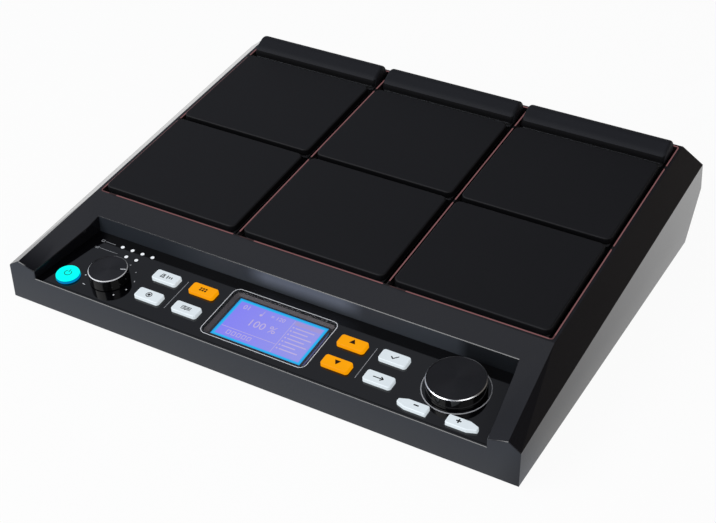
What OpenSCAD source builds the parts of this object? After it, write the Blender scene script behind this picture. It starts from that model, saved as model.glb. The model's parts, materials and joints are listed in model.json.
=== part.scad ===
// Electronic percussion pad: a wedge-shaped housing with a sunken control panel, six rubber pads,
// three raised rubber bars and a light guide round them.
// X runs to the right, Y to the back and Z up. The origin is under the middle of the housing,
// on the surface that the feet stand on. All sizes are in millimetres.

/* [Housing] */
// Width of the housing
body_w = 380; // [370:1:400]
// Depth of the housing at its back edge
body_d = 306; // [304:1:320]
// Height of the side wall at the front
side_front_h = 26; // [25:0.5:30]
// Slope of the deck, the panel and the side walls' top edge, in degrees
top_tilt = 5.7; // [5:0.1:7]
// Height of the deck above the side walls' top edge
deck_rise = 12.1; // [11:0.1:14]
// Width of the bevel along each side of the deck
bevel_w = 15.1; // [14:0.1:17]
// Distance from the front face to the front edge of the deck
deck_front = 78.2; // [76:0.2:79]
// Slope of the border between the deck and the control recess, in degrees
border_pitch = 19.5; // [16:0.5:22]
// Height of the wings' outer corners at the front face
wing_corner_h = 31.4; // [30:0.2:33]
// Distance of those corners from the side faces
wing_corner_in = 8.4; // [7:0.2:10]
// Slope of the wings towards the recess, in degrees
wing_tilt = 16.8; // [12:0.2:20]
// Run of the bevelled underside at the back
kick_run = 22; // [16:1:26]
// Height of the bevelled underside at the back
kick_h = 33.8; // [30:0.2:36]
// Lean of the back face, in degrees
back_lean = 12.4; // [8:0.2:15]
// Thickness of the moulded walls
wall = 2.5; // [2:0.1:3]
// Thickness of the bottom cover
cover_t = 2.5; // [2:0.1:3.5]
// Gap between pieces that are fitted into each other
fit_gap = 0.3; // [0.2:0.05:0.4]

/* [Control recess] */
// Half the width of the recess at the front face
recess_half_front = 168.4; // [166:0.2:170]
// Half the width of the recess at its back wall
recess_half_back = 159.8; // [158:0.2:162]
// Depth of the recess
recess_d = 60.7; // [60:0.1:62]
// Height of the panel's surface at the front face
panel_front_h = 21.4; // [20:0.1:23]
// Thickness of the control panel
panel_t = 3; // [2.5:0.1:3.2]
// Width of the front wall's lip in front of the panel
lip_w = 1.6; // [1.2:0.1:2]
// Width of the ledge that carries the panel
ledge_w = 3.5; // [2.5:0.1:4]
// Width of the ledge along the front wall
ledge_front_w = 1.5; // [1.2:0.1:1.8]
// Thickness of the ledge
ledge_t = 2.5; // [2:0.1:3]

/* [Pads] */
// Distance between the columns of pads
column_pitch = 115.2; // [115:0.1:116]
// Width of a pad
pad_w = 109; // [107:0.2:110]
// Depth of a large pad
pad_d = 91.5; // [90:0.1:92]
// Gap between the rows of pads
row_gap = 4; // [3:0.1:4.5]
// Depth of a raised bar
bar_d = 22.6; // [21:0.1:23]
// Height of a pad above the deck
pad_rise = 3.8; // [3.4:0.1:4.4]
// Rounding of a pad's edges
pad_r = 4.2; // [3.2:0.1:4.6]
// Rounding of the corners of a pad's flat top
pad_face_r = 0.6; // [0.4:0.1:3]
// Height of a raised bar's front edge above the deck
bar_front_rise = 1.6; // [1.2:0.1:2]
// Rounding of that front edge
bar_front_r = 1.8; // [1.6:0.1:2.2]
// Height of a raised bar's crest above the deck
bar_rise = 8.8; // [8:0.1:9.6]
// Radius of the roll from the crest down to the back of a raised bar
bar_r = 7.2; // [6.4:0.1:8]
// Rounding of a raised bar's ends
bar_end_r = 1.6; // [1.2:0.1:1.7]
// Depth of the pads' well below the deck
well_depth = 4; // [3.6:0.1:5]
// Thickness of the plate under a pad
plate_t = 1.5; // [1.2:0.1:2]
// Thickness of the foam sheet under a plate
foam_t = 1.5; // [1.2:0.1:1.8]
// Radius of a piezo disc
piezo_r = 9; // [8:0.5:9.5]
// Thickness of a piezo disc
piezo_t = 0.6; // [0.4:0.1:0.8]

/* [Light guide] */
// Distance along the deck from the front face to the guide's front line
guide_front = 80.8; // [80:0.1:81]
// Distance along the deck between the guide's front and back lines
guide_d = 217.5; // [217:0.1:218]
// Distance between the guide's side lines
guide_w = 344.8; // [344.4:0.1:345.4]
// Width of a light line
line_w = 0.8; // [0.7:0.1:1.2]
// Rounding of the guide's corners
guide_r = 1.8; // [1.6:0.1:3]
// Width of the foot under a light line
guide_foot_w = 2.6; // [2:0.1:3]
// Height of that foot
guide_foot_h = 1; // [0.8:0.1:1.4]

/* [Buttons] */
// Width of a rectangular button
key_w = 19.4; // [18:0.1:20]
// Depth of a rectangular button
key_d = 9.2; // [8.5:0.1:10]
// Height of the buttons above the panel
key_rise = 2.5; // [2:0.1:3]
// Rounding of the buttons' top edges
key_r = 0.6; // [0.4:0.1:0.8]
// Rounding of the corners of a rectangular button's flat top
key_face_r = 1.2; // [0.8:0.1:1.6]
// Rounding of the corners of the minus and plus buttons' flat tops
step_key_face_r = 0.5; // [0.3:0.1:0.6]
// Distance of the inner button columns from the middle
key_column_in = 56.8; // [56:0.1:58]
// Distance of the outer button columns from the middle
key_column_out = 86.7; // [86:0.1:88]
// Distance of the front button row from the front face
key_row_front = 19.1; // [18:0.1:20]
// Distance of the back button row from the front face
key_row_back = 38.9; // [38:0.1:39.6]
// Travel of a button
key_travel = 0.8; // [0.5:0.1:1]
// Thickness of the collar that holds a button under the panel
collar_t = 0.8; // [0.6:0.1:1]
// Width of that collar past the button
collar_w = 1.2; // [1:0.1:1.4]
// Width of the minus and plus buttons
step_key_w = 20.2; // [19:0.1:20.6]
// Depth of the minus and plus buttons
step_key_d = 7.2; // [6.8:0.1:7.6]
// Length of their pointed outer ends
step_key_point = 6; // [5:0.1:7]
// Width of the blunt tip of those ends
step_key_tip = 3; // [2.6:0.1:3.6]
// Distance of the minus and plus buttons from the front face
step_key_row = 8.6; // [8.5:0.1:9]
// Distance from the housing's middle to the middle between the minus and plus buttons
step_key_x = 132; // [131.5:0.1:132.5]
// Distance between the minus and plus buttons
step_key_pitch = 33.2; // [32.5:0.1:34]
// Radius of the power button
power_r = 8.2; // [7.5:0.1:8.5]
// Distance of the power button from the middle
power_x = 150; // [149:0.1:150.6]
// Distance of the power button from the front face
power_row = 12.7; // [12.6:0.1:14]

/* [Knobs] */
// Radius of the volume knob
volume_r = 13.4; // [12.5:0.1:14]
// Distance of the volume knob from the middle
volume_x = 122.6; // [121.5:0.1:123.5]
// Distance of the volume knob from the front face
volume_row = 23.1; // [22.5:0.1:24.5]
// Radius of the dial
dial_r = 18.9; // [18:0.1:19.2]
// Distance of the dial from the middle
dial_x = 131.6; // [130.5:0.1:132.5]
// Distance of the dial from the front face
dial_row = 34.6; // [34.4:0.1:35.5]
// Height of the knobs above the panel
knob_rise = 8.8; // [8:0.1:10]
// Gap between a knob and the panel
knob_gap = 0.6; // [0.4:0.1:0.8]
// Width of the bright edge round a knob's top
knob_edge = 0.6; // [0.4:0.1:1]
// Direction of the volume knob's pointer, in degrees from the X axis
pointer_angle = 22; // [0:1:45]
// Radius of the knobs' shafts
shaft_r = 3; // [2.8:0.1:3.2]
// Running clearance round a shaft
shaft_gap = 0.05; // [0.03:0.01:0.1]
// Outer radius of the ring round the dial
ring_r = 21.8; // [21.5:0.1:22]
// Width of that ring
ring_w = 0.7; // [0.6:0.1:1.2]

/* [Display] */
// Width of the display window
window_w = 77; // [74:0.2:78]
// Depth of the display window
window_d = 43.6; // [42:0.2:44]
// Rounding of the window's corners
window_r = 3.9; // [3:0.1:5]
// Thickness of the window
window_t = 1.2; // [1:0.1:1.6]
// Width of the sill that the window lies on
window_sill = 0.8; // [0.6:0.1:1.2]
// Distance of the display's middle from the front face
window_row = 29.8; // [29.5:0.1:30.2]
// Width of the picture area
screen_w = 67.6; // [66:0.2:70]
// Depth of the picture area
screen_d = 36.8; // [36:0.2:39.5]
// Depth of the picture area below the panel's surface
screen_drop = 3.5; // [3.3:0.1:4]

/* [Indicators] */
// Radius of an indicator lens
led_r = 1.8; // [1.4:0.1:2]
// Distance between the indicator lenses
led_pitch = 8.45; // [8:0.05:8.6]
// Distance of the first indicator from the middle
led_x = 134.4; // [134:0.1:135]
// Distance of the back row of indicators from the front face
led_row_back = 53; // [52.8:0.1:53.4]
// Distance of the front row of indicators from the front face
led_row_front = 45.8; // [45.5:0.1:46]

/* [Boards and sockets] */
// Depth of the panel board below the panel's surface
board_drop = 9.5; // [9.2:0.1:10]
// Thickness of the circuit boards
board_t = 1.6; // [1.2:0.1:2]
// Height of the main board above the bottom cover's outside
main_board_h = 14; // [13.5:0.1:16]
// Radius of the jack sockets' bores
jack_bore_r = 3.25; // [3.2:0.05:3.3]
// Radius of the jack sockets' threaded necks
jack_neck_r = 5.5; // [5:0.1:6]
// Width and height of a jack socket's body
jack_size = 15; // [14:0.1:16]
// Depth of a jack socket's body
jack_depth = 20; // [19:0.1:22]
// Distance between the jack sockets
jack_pitch = 34; // [30:1:36]
// Height of the sockets' axes up the back face
socket_up = 14; // [13:0.1:15]

/* [Underside] */
// Height of the rubber feet
foot_h = 4; // [3:0.1:6]
// Radius of the rubber feet
foot_r = 10; // [8:0.1:12]
// Distance between the stand inserts across the housing
stand_w = 100; // [80:1:110]
// Distance between the stand inserts along the housing
stand_d = 70; // [60:1:76]
// Radius of the stand inserts' threaded holes
stand_hole_r = 2.5; // [2:0.1:3]

/* [Hidden] */
$fn = 48;

// Reach of the blocks that cut the housing along a plane
reach = 2 * (body_w + body_d);
// Overlap past a face that is cut through
cut = 1;

slope = tan(top_tilt);
half_w = body_w / 2;
deck_front_h = side_front_h + deck_rise;
kink = [half_w - bevel_w, deck_front, deck_front_h + slope * deck_front];
wing_corner = [half_w - wing_corner_in, 0, wing_corner_h];
side_corner = [half_w, 0, side_front_h];
bevel_slope = deck_rise / bevel_w;
wing_slope = tan(wing_tilt);
wing_climb = (kink[2] - wing_corner_h - wing_slope * (kink[0] - wing_corner[0])) / deck_front;
corner_slope = (wing_corner_h - side_front_h) / wing_corner_in;
corner_climb = (kink[2] - side_front_h - corner_slope * bevel_w) / deck_front;

// The bevelled underside, and the length of it that the bottom cover takes up
kick_len = norm([kick_run, kick_h]);
kick_angle = atan(kick_run / kick_h);
kick_in = [-kick_h, kick_run] / kick_len;
kick_along = [kick_run, kick_h] / kick_len;
kick_cover_len = kick_len - wall / sin(kick_angle + back_lean) - fit_gap;

// Pads, from the front of the field to the back, measured along the deck
guide_back = guide_front + guide_d;
bar_end = guide_back - line_w / 2 - (guide_d - line_w - 2 * pad_d - bar_d - 2 * row_gap) / 2;
row_front = bar_end - bar_d - 2 * row_gap - 2 * pad_d;
row_back = row_front + pad_d + row_gap;
bar_front = row_back + pad_d + row_gap;
columns = [-column_pitch, 0, column_pitch];
pad_bottom = plate_t + foam_t - well_depth;
plate_inset = 1.5;
plate_r = 2.2;
well_gap = 0.25;
wire_hole_r = 4;
key_corner_r = key_r + key_face_r;
step_key_corner_r = key_r + step_key_face_r;

// Every pad as its middle and its depth
pad_rows = [[row_front + pad_d / 2, pad_d], [row_back + pad_d / 2, pad_d], [bar_front + bar_d / 2, bar_d]];
pad_places = [for (row = pad_rows) for (x = columns) [x, row[0], row[1]]];

// Buttons: middle of each one on the panel
metronome_at = [-key_column_out, key_row_back];
record_at = [-key_column_out, key_row_front];
kit_at = [-key_column_in, key_row_back];
setup_at = [-key_column_in, key_row_front];
up_at = [key_column_in, key_row_back];
down_at = [key_column_in, key_row_front];
confirm_at = [key_column_out, key_row_back];
select_at = [key_column_out, key_row_front];
minus_at = [step_key_x - step_key_pitch / 2, step_key_row];
plus_at = [step_key_x + step_key_pitch / 2, step_key_row];
power_at = [-power_x, power_row];
volume_at = [-volume_x, volume_row];
dial_at = [dial_x, dial_row];
key_places = [metronome_at, record_at, kit_at, setup_at, up_at, down_at, confirm_at, select_at];
switch_places = concat(key_places, [minus_at, plus_at, power_at]);
led_places = concat(
    [for (i = [0:3]) [-led_x + i * led_pitch, led_row_back]],
    [for (i = [1:2]) [-led_x + i * led_pitch, led_row_front]]
);

// Levels below the panel's surface
collar_top = -panel_t - fit_gap;
collar_bottom = collar_top - collar_t;
switch_top = collar_bottom - key_travel - fit_gap;
stem_r = 1.6;
stem_bottom = switch_top - 1.8;
switch_size = 6.2;
switch_bore_bottom = stem_bottom - key_travel - fit_gap;
window_gap = 0.15;
glass_t = 2.2;
frame_side = 4.2;
frame_end = 2.9;
frame_w = screen_w + 2 * frame_side;
frame_d = screen_d + 2 * frame_end;
frame_wall = 1;

// Screws
screw_r = 1.45;
screw_head_r = 2.8;
screw_head_h = 1.6;
screw_len = 12;
boss_r = 5.5;
boss_gap = 0.05;
boss_x = half_w - wall - fit_gap - screw_head_r - 1.6;
cover_screw_in = 25;
cover_screw_rows = [cover_screw_in, body_d / 2, body_d - kick_run - cover_screw_in];
cover_screw_places = [for (y = cover_screw_rows) for (s = [-1, 1]) [s * boss_x, y]];
small_screw_r = 1.2;
small_head_r = 2.4;
small_head_h = 1.4;
panel_screw_bite = 4;
board_screw_bite = 6;
standoff_r = 3.5;
standoff_gap = 0.8;
front_screw_row = lip_w + ledge_front_w + standoff_r + 2.4;
back_screw_row = recess_d - ledge_w - standoff_r - standoff_gap;
display_screw_gap = 4.5;
display_screw_x = frame_w / 2 + standoff_r + display_screw_gap;
key_screw_x = key_column_out + key_w / 2 + standoff_r;
end_screw_x = recess_half_back - ledge_w - standoff_r - standoff_gap;
panel_screw_places = concat(
    [for (x = [-1, 1]) for (y = [front_screw_row, back_screw_row]) [x * display_screw_x, y]],
    [for (x = [-1, 1]) [x * key_screw_x, front_screw_row]],
    [for (x = [-1, 1]) [x * end_screw_x, back_screw_row]]
);
main_board_w = 220;
main_board_d = 130;
main_board_front = 88;
board_corner_in = 6;
board_corners = [for (x = [-1, 1]) for (y = [0, 1])
    [x * (main_board_w / 2 - board_corner_in),
        main_board_front + board_corner_in + y * (main_board_d - 2 * board_corner_in)]];
foot_side_in = 38;
foot_end_in = 34;
foot_places = [for (s = [-1, 1]) for (y = [foot_end_in, body_d - kick_run - foot_end_in])
    [s * (half_w - foot_side_in), y]];
foot_plug_r = 2.6;
stand_places = [for (x = [-1, 1]) for (y = [-1, 1]) [x * stand_w / 2, body_d / 2 + y * stand_d / 2]];
insert_r = 3.6;
insert_len = 8;
insert_boss_r = 6.2;

// Sockets along the back, from the right as seen from the front
jack_middle = -25;
jack_places = [for (i = [-2:2]) jack_middle + i * jack_pitch];
inlet_x = 132;
usb_x = 98;
jack_out = 1.7;
jack_bore_end = 1.5;
nut_r = 7;
nut_t = 1.2;

// Frames: the housing's own frame starts at the middle of the bottom of its front face
module housing_frame() { translate([0, -body_d / 2, foot_h]) children(); }
module on_deck() { translate([0, 0, deck_front_h]) rotate([top_tilt, 0, 0]) children(); }
module on_panel() { translate([0, 0, panel_front_h]) rotate([top_tilt, 0, 0]) children(); }
module on_back() { translate([0, body_d, kick_h]) rotate([back_lean, 0, 0]) children(); }
module at_each(places) { for (p = places) translate([p[0], p[1], 0]) children(); }

// Everything below a plane through a point, with the plane's slopes along X and Y, moved in by an inset
module below(point, slope_x, slope_y, inset) {
    turn_y = -atan(slope_x);
    turn_x = atan(slope_y * cos(turn_y));
    translate(point) rotate([turn_x, turn_y, 0])
        translate([-reach / 2, -reach / 2, -reach - inset]) cube([reach, reach, reach]);
}

// Everything in front of a plane across the housing that leans by an angle
module in_front_of(y, z, lean, inset) {
    translate([0, y, z]) rotate([lean, 0, 0])
        translate([-reach / 2, -reach - inset, -reach / 2]) cube([reach, reach, reach]);
}

// The planes on the right, then the same on the left
module both_sides() {
    children();
    mirror([1, 0, 0]) children();
}

// The housing's outer form, or the same form moved in by a wall
module housing_block(inset, low) {
    intersection() {
        translate([inset - half_w, inset, low]) cube([body_w - 2 * inset, body_d, reach]);
        below([0, 0, deck_front_h], 0, slope, inset);
        union() {
            below(kink, 0, tan(border_pitch), inset);
            both_sides() below(wing_corner, wing_slope, wing_climb, inset);
        }
        below(side_corner, -bevel_slope, slope, inset);
        below(side_corner, -corner_slope, corner_climb, inset);
        mirror([1, 0, 0]) below(side_corner, -bevel_slope, slope, inset);
        mirror([1, 0, 0]) below(side_corner, -corner_slope, corner_climb, inset);
        in_front_of(body_d, kick_h, back_lean, inset);
    }
}

// The recess seen from above, grown by a margin, from a distance behind the front face
module recess_plan(margin, from, to) {
    taper = (recess_half_front - recess_half_back) / recess_d;
    x_from = recess_half_front - taper * from + margin;
    x_to = recess_half_front - taper * to + margin;
    polygon([[-x_from, from], [x_from, from], [x_to, to], [-x_to, to]]);
}

// Upright walls round the recess's plan, above a level of the panel's frame
module recess_block(margin, from, to, level) {
    intersection() {
        linear_extrude(reach / 4) recess_plan(margin, from, to);
        on_panel() translate([-reach / 2, -reach / 2, level]) cube([reach, reach, reach]);
    }
}

// Rectangle with round corners, centred
module round_rect(w, d, r) {
    square([w - 2 * r, d], center = true);
    square([w, d - 2 * r], center = true);
    for (x = [-1, 1]) for (y = [-1, 1]) translate([x * (w / 2 - r), y * (d / 2 - r)]) circle(r);
}

module round_plate(w, d, r, low, high) {
    translate([0, 0, low]) linear_extrude(high - low) round_rect(w, d, r);
}

// Post with a rounded top edge, the corner of every moulded pad and button
module round_post(face_r, edge, low, high, steps = 6) {
    r = face_r + edge;
    arc = [for (i = [0:steps]) [face_r + edge * cos(90 * i / steps), high - edge + edge * sin(90 * i / steps)]];
    rotate_extrude($fn = 24) polygon(concat([[0, low], [r, low]], arc, [[0, high]]));
}

module round_block(w, d, face_r, edge, low, high) {
    r = face_r + edge;
    hull() for (x = [-1, 1]) for (y = [-1, 1])
        translate([x * (w / 2 - r), y * (d / 2 - r), 0]) round_post(face_r, edge, low, high);
}

// End of a roll that lies along X: a disc whose outer rim is rounded, on the right or the left
module roll_end(r, edge, side, steps = 4) {
    rim = [for (i = [0:steps]) [r - edge + edge * cos(90 * i / steps), edge * sin(90 * i / steps)]];
    rotate([0, side * 90, 0]) rotate_extrude($fn = 40) polygon(concat([[0, 0]], rim, [[0, edge]]));
}

// The well that the pads lie in, seen along the deck
module well_plan(margin) {
    translate([0, guide_front + guide_d / 2])
        round_rect(guide_w + line_w + 2 * margin, guide_d + line_w + 2 * margin, guide_r + line_w / 2 + margin);
}

// Holes of the sockets through the back wall
module socket_holes() {
    on_back() {
        for (x = jack_places) translate([x, cut, socket_up]) rotate([90, 0, 0])
            cylinder(r = jack_neck_r + fit_gap, h = wall + 2 * cut);
        translate([inlet_x, cut, socket_up]) rotate([90, 0, 0])
            cylinder(r = inlet_neck_r + fit_gap, h = wall + 2 * cut);
        translate([usb_x - usb_w / 2 - fit_gap, -wall - cut, socket_up - usb_h / 2 - fit_gap])
            cube([usb_w + 2 * fit_gap, wall + 2 * cut, usb_h + 2 * fit_gap]);
    }
}

// Moulded top shell: walls, bevels, wings, recess with its ledge, and the pads' well
module top_shell() {
    color("#26262a") housing_frame() difference() {
        union() {
            difference() {
                intersection() {
                    housing_block(0, 0);
                    in_front_of(body_d, kick_h, -kick_angle, 0);
                }
                difference() {
                    housing_block(wall, -cut);
                    recess_block(wall, -cut, recess_d + wall, -panel_t - ledge_t);
                    on_deck() translate([0, 0, -well_depth - wall])
                        linear_extrude(reach / 4) well_plan(well_gap + wall);
                }
                recess_block(0, -cut, recess_d, 0);
                recess_block(0, lip_w, recess_d, -panel_t);
                recess_block(-ledge_w, lip_w + ledge_front_w, recess_d - ledge_w, -reach / 8);
                on_deck() translate([0, 0, -well_depth]) linear_extrude(reach / 4) well_plan(well_gap);
            }
            intersection() {
                at_each(cover_screw_places) translate([0, 0, cover_t]) cylinder(r = boss_r, h = reach / 4);
                housing_block(wall / 2, 0);
            }
        }
        at_each(cover_screw_places) cylinder(r = screw_r + boss_gap, h = cover_t + screw_len);
        on_deck() for (p = pad_places) translate([p[0], p[1], -well_depth - wall - cut])
            cylinder(r = wire_hole_r, h = wall + 2 * cut);
        socket_holes();
    }
}

// Bottom cover: flat plate with the bevelled back, bosses, standoffs and screw holes
module cover_outline() {
    corner = [body_d - kick_run, 0];
    top = corner + kick_cover_len * kick_along;
    inner_run = cover_t * (kick_len - kick_run) / kick_h;
    inner = corner + cover_t * kick_in + inner_run * kick_along;
    polygon([[wall + fit_gap, 0], corner, top, top + cover_t * kick_in, inner, [wall + fit_gap, cover_t]]);
}

module bottom_cover() {
    cover_half = half_w - wall - fit_gap;
    color("#1d1d20") housing_frame() difference() {
        union() {
            translate([-cover_half, 0, 0]) rotate([90, 0, 90]) linear_extrude(2 * cover_half) cover_outline();
            at_each(board_corners) cylinder(r = standoff_r, h = main_board_h);
            at_each(stand_places) cylinder(r = insert_boss_r, h = insert_len + cover_t);
        }
        at_each(cover_screw_places) {
            translate([0, 0, -cut]) cylinder(r = screw_r + fit_gap, h = cover_t + 2 * cut);
            translate([0, 0, -cut]) cylinder(r = screw_head_r + fit_gap, h = screw_head_h + cut);
        }
        at_each(board_corners) translate([0, 0, cover_t])
            cylinder(r = small_screw_r + boss_gap, h = main_board_h);
        at_each(stand_places) translate([0, 0, -cut]) cylinder(r = insert_r, h = insert_len + cut);
        at_each(foot_places) translate([0, 0, -cut])
            cylinder(r = foot_plug_r + boss_gap, h = cover_t + 2 * cut);
    }
}

// Countersunk-style screws that stand head down
module down_screw(r, head_r, head_h, length) {
    cylinder(r = head_r, h = head_h);
    cylinder(r = r, h = length);
}

module cover_screws() {
    color("#3a3a3c") housing_frame() at_each(cover_screw_places)
        down_screw(screw_r, screw_head_r, screw_head_h, screw_len);
}

module rubber_feet() {
    color("#141414") housing_frame() at_each(foot_places) {
        translate([0, 0, -foot_h]) cylinder(r1 = foot_r - 1, r2 = foot_r, h = foot_h);
        cylinder(r = foot_plug_r, h = cover_t);
    }
}

module stand_inserts() {
    color("#b08d4a") housing_frame() at_each(stand_places) difference() {
        cylinder(r = insert_r, h = insert_len);
        translate([0, 0, -cut]) cylinder(r = stand_hole_r, h = insert_len + 2 * cut);
    }
}

// Glossy control panel with an opening for every control, and bosses for its board
module control_panel() {
    color("#111114") housing_frame() difference() {
        union() {
            intersection() {
                recess_block(-fit_gap, lip_w + fit_gap, recess_d - fit_gap, -panel_t);
                on_panel() translate([-reach / 2, -reach / 2, -reach]) cube([reach, reach, reach]);
            }
            on_panel() at_each(panel_screw_places) translate([0, 0, -board_drop])
                cylinder(r = standoff_r, h = board_drop - panel_t / 2);
        }
        on_panel() {
            at_each(key_places) round_plate(key_w + 2 * fit_gap, key_d + 2 * fit_gap, key_corner_r + fit_gap,
                -panel_t - cut, cut);
            translate([minus_at[0], minus_at[1], 0]) step_key_hole();
            translate([plus_at[0], plus_at[1], 0]) mirror([1, 0, 0]) step_key_hole();
            translate([power_at[0], power_at[1], -panel_t - cut])
                cylinder(r = power_r + fit_gap, h = panel_t + 2 * cut);
            at_each([volume_at, dial_at]) translate([0, 0, -panel_t - cut])
                cylinder(r = neck_r + fit_gap, h = panel_t + 2 * cut);
            translate([dial_at[0], dial_at[1], -ring_sink]) ring_band(boss_gap, cut + ring_sink);
            translate([0, window_row, 0]) window_opening();
            at_each(led_places) translate([0, 0, -panel_t - cut])
                cylinder(r = led_r + window_gap, h = panel_t + 2 * cut);
            at_each(panel_screw_places) translate([0, 0, -board_drop - cut])
                cylinder(r = small_screw_r + boss_gap, h = board_drop - panel_t + cut);
        }
    }
}

// The window's seat, and the sloped bezel from its sill down to the picture area
module window_opening() {
    round_plate(window_w + 2 * window_gap, window_d + 2 * window_gap, window_r + window_gap, -window_t, cut);
    hull() {
        round_plate(window_w - 2 * window_sill, window_d - 2 * window_sill, window_r - window_sill,
            -window_t, cut - window_t);
        translate([0, 0, -panel_t - cut / 2]) cube([screen_w, screen_d, cut], center = true);
    }
}

// Red light guide: a frame round the pads and a bar on each side of the middle column
module guide_plan(width) {
    difference() {
        translate([0, guide_front + guide_d / 2])
            round_rect(guide_w + width, guide_d + width, guide_r + width / 2);
        translate([0, guide_front + guide_d / 2])
            round_rect(guide_w - width, guide_d - width, guide_r - width / 2);
    }
    for (s = [-1, 1]) translate([s * column_pitch / 2, guide_front + guide_d / 2])
        square([width, guide_d], center = true);
}

module light_guide() {
    color("#d8462f") housing_frame() on_deck() {
        translate([0, 0, -well_depth]) linear_extrude(well_depth) guide_plan(line_w);
        translate([0, 0, -well_depth]) linear_extrude(guide_foot_h) intersection() {
            guide_plan(guide_foot_w);
            well_plan(0);
        }
    }
}

// Rubber pads and raised bars
module pad(column, row) {
    color("#18181b") housing_frame() on_deck() translate([columns[column], pad_rows[row][0], 0])
        round_block(pad_w, pad_rows[row][1], pad_face_r, pad_r, pad_bottom, pad_rise);
}

// A raised bar climbs from its front edge to a crest and rolls down to its back
module bar(column) {
    color("#18181b") housing_frame() on_deck() translate([columns[column], bar_front, 0]) intersection() {
        hull() for (s = [-1, 1]) translate([s * (pad_w / 2 - bar_end_r), 0, 0]) {
            translate([0, bar_front_r, bar_front_rise - bar_front_r]) roll_end(bar_front_r, bar_end_r, s);
            translate([0, bar_d - bar_r, bar_rise - bar_r]) roll_end(bar_r, bar_end_r, s);
        }
        translate([-reach / 2, -reach / 2, pad_bottom]) cube([reach, reach, reach]);
    }
}

module pad_front_left() { pad(0, 0); }
module pad_front_middle() { pad(1, 0); }
module pad_front_right() { pad(2, 0); }
module pad_back_left() { pad(0, 1); }
module pad_back_middle() { pad(1, 1); }
module pad_back_right() { pad(2, 1); }
module bar_left() { bar(0); }
module bar_middle() { bar(1); }
module bar_right() { bar(2); }

// Under every pad: a plate, a foam sheet with a window, and a piezo disc in that window
module pad_plates() {
    color("#8d9094") housing_frame() on_deck() for (p = pad_places) translate([p[0], p[1], 0])
        round_plate(pad_w - 2 * plate_inset, p[2] - 2 * plate_inset, plate_r, pad_bottom - plate_t, pad_bottom);
}

module foam_sheets() {
    color("#4a4a50") housing_frame() on_deck() for (p = pad_places) translate([p[0], p[1], 0]) difference() {
        round_plate(pad_w - 2 * plate_inset, p[2] - 2 * plate_inset, plate_r, -well_depth, foam_t - well_depth);
        translate([0, 0, -well_depth - cut]) cylinder(r = piezo_r + fit_gap, h = foam_t + 2 * cut);
    }
}

module piezo_discs() {
    color("#c9a94e") housing_frame() on_deck() for (p = pad_places)
        translate([p[0], p[1], pad_bottom - plate_t - piezo_t]) cylinder(r = piezo_r, h = piezo_t);
}

// Push buttons: a cap in its opening, a collar under the panel and a stem into the switch
module key_stem() {
    translate([0, 0, stem_bottom]) cylinder(r = stem_r, h = collar_top - stem_bottom);
}

module key_cap(place, tint) {
    color(tint) housing_frame() on_panel() translate([place[0], place[1], 0]) {
        round_block(key_w, key_d, key_face_r, key_r, collar_top, key_rise);
        round_plate(key_w + 2 * collar_w, key_d + 2 * collar_w, key_corner_r, collar_bottom, collar_top);
        key_stem();
    }
}

// Corners of the minus button, whose blunt point looks to the left, moved out by a margin
function step_key_corners(grow) = let (
    end = step_key_w / 2 + grow,
    side = step_key_d / 2 + grow,
    lean = atan((step_key_d - step_key_tip) / 2 / step_key_point),
    shoulder = step_key_point - step_key_w / 2 - grow * tan(lean / 2),
    tip = step_key_tip / 2 + grow * cos(lean) / (1 + sin(lean))
) [[end, -side], [end, side], [shoulder, side], [-end, tip], [-end, -tip], [shoulder, -side]];

module step_key_hole() {
    translate([0, 0, -panel_t - cut]) linear_extrude(panel_t + 2 * cut) polygon(step_key_corners(fit_gap));
}

module step_key(place, flip) {
    color("#e8edf0") housing_frame() on_panel() translate([place[0], place[1], 0]) mirror([flip, 0, 0]) {
        hull() at_each(step_key_corners(-step_key_corner_r))
            round_post(step_key_face_r, key_r, collar_top, key_rise);
        translate([0, 0, collar_bottom]) linear_extrude(collar_t) polygon(step_key_corners(collar_w));
        key_stem();
    }
}

module metronome_button() { key_cap(metronome_at, "#e8edf0"); }
module record_button() { key_cap(record_at, "#e8edf0"); }
module kit_button() { key_cap(kit_at, "#ffb514"); }
module setup_button() { key_cap(setup_at, "#e8edf0"); }
module up_button() { key_cap(up_at, "#ffb514"); }
module down_button() { key_cap(down_at, "#ffb514"); }
module confirm_button() { key_cap(confirm_at, "#e8edf0"); }
module select_button() { key_cap(select_at, "#e8edf0"); }
module minus_button() { step_key(minus_at, 0); }
module plus_button() { step_key(plus_at, 1); }

module power_button() {
    edge = key_r;
    arc = [for (a = [0:15:90]) [power_r - edge + edge * cos(a), key_rise - edge + edge * sin(a)]];
    profile = concat([[0, collar_bottom], [power_r + collar_w, collar_bottom], [power_r + collar_w, collar_top],
        [power_r, collar_top]], arc, [[0, key_rise]]);
    color("#23e6ee") housing_frame() on_panel() translate([power_at[0], power_at[1], 0]) {
        rotate_extrude() polygon(profile);
        key_stem();
    }
}

module key_switches() {
    color("#2b2b2b") housing_frame() on_panel() at_each(switch_places) difference() {
        translate([-switch_size / 2, -switch_size / 2, -board_drop])
            cube([switch_size, switch_size, board_drop + switch_top]);
        translate([0, 0, switch_bore_bottom]) cylinder(r = stem_r + fit_gap, h = board_drop);
    }
}

// Knobs turn on shafts that stand in the necks of the parts on the panel board
neck_r = shaft_r + 0.6;
neck_top = -0.6;
knob_top_t = 1.6;
knob_wall = 1.5;
knob_hub_r = shaft_r + 1.8;
knob_dish = 0.25;
shaft_foot = 1;

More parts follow.
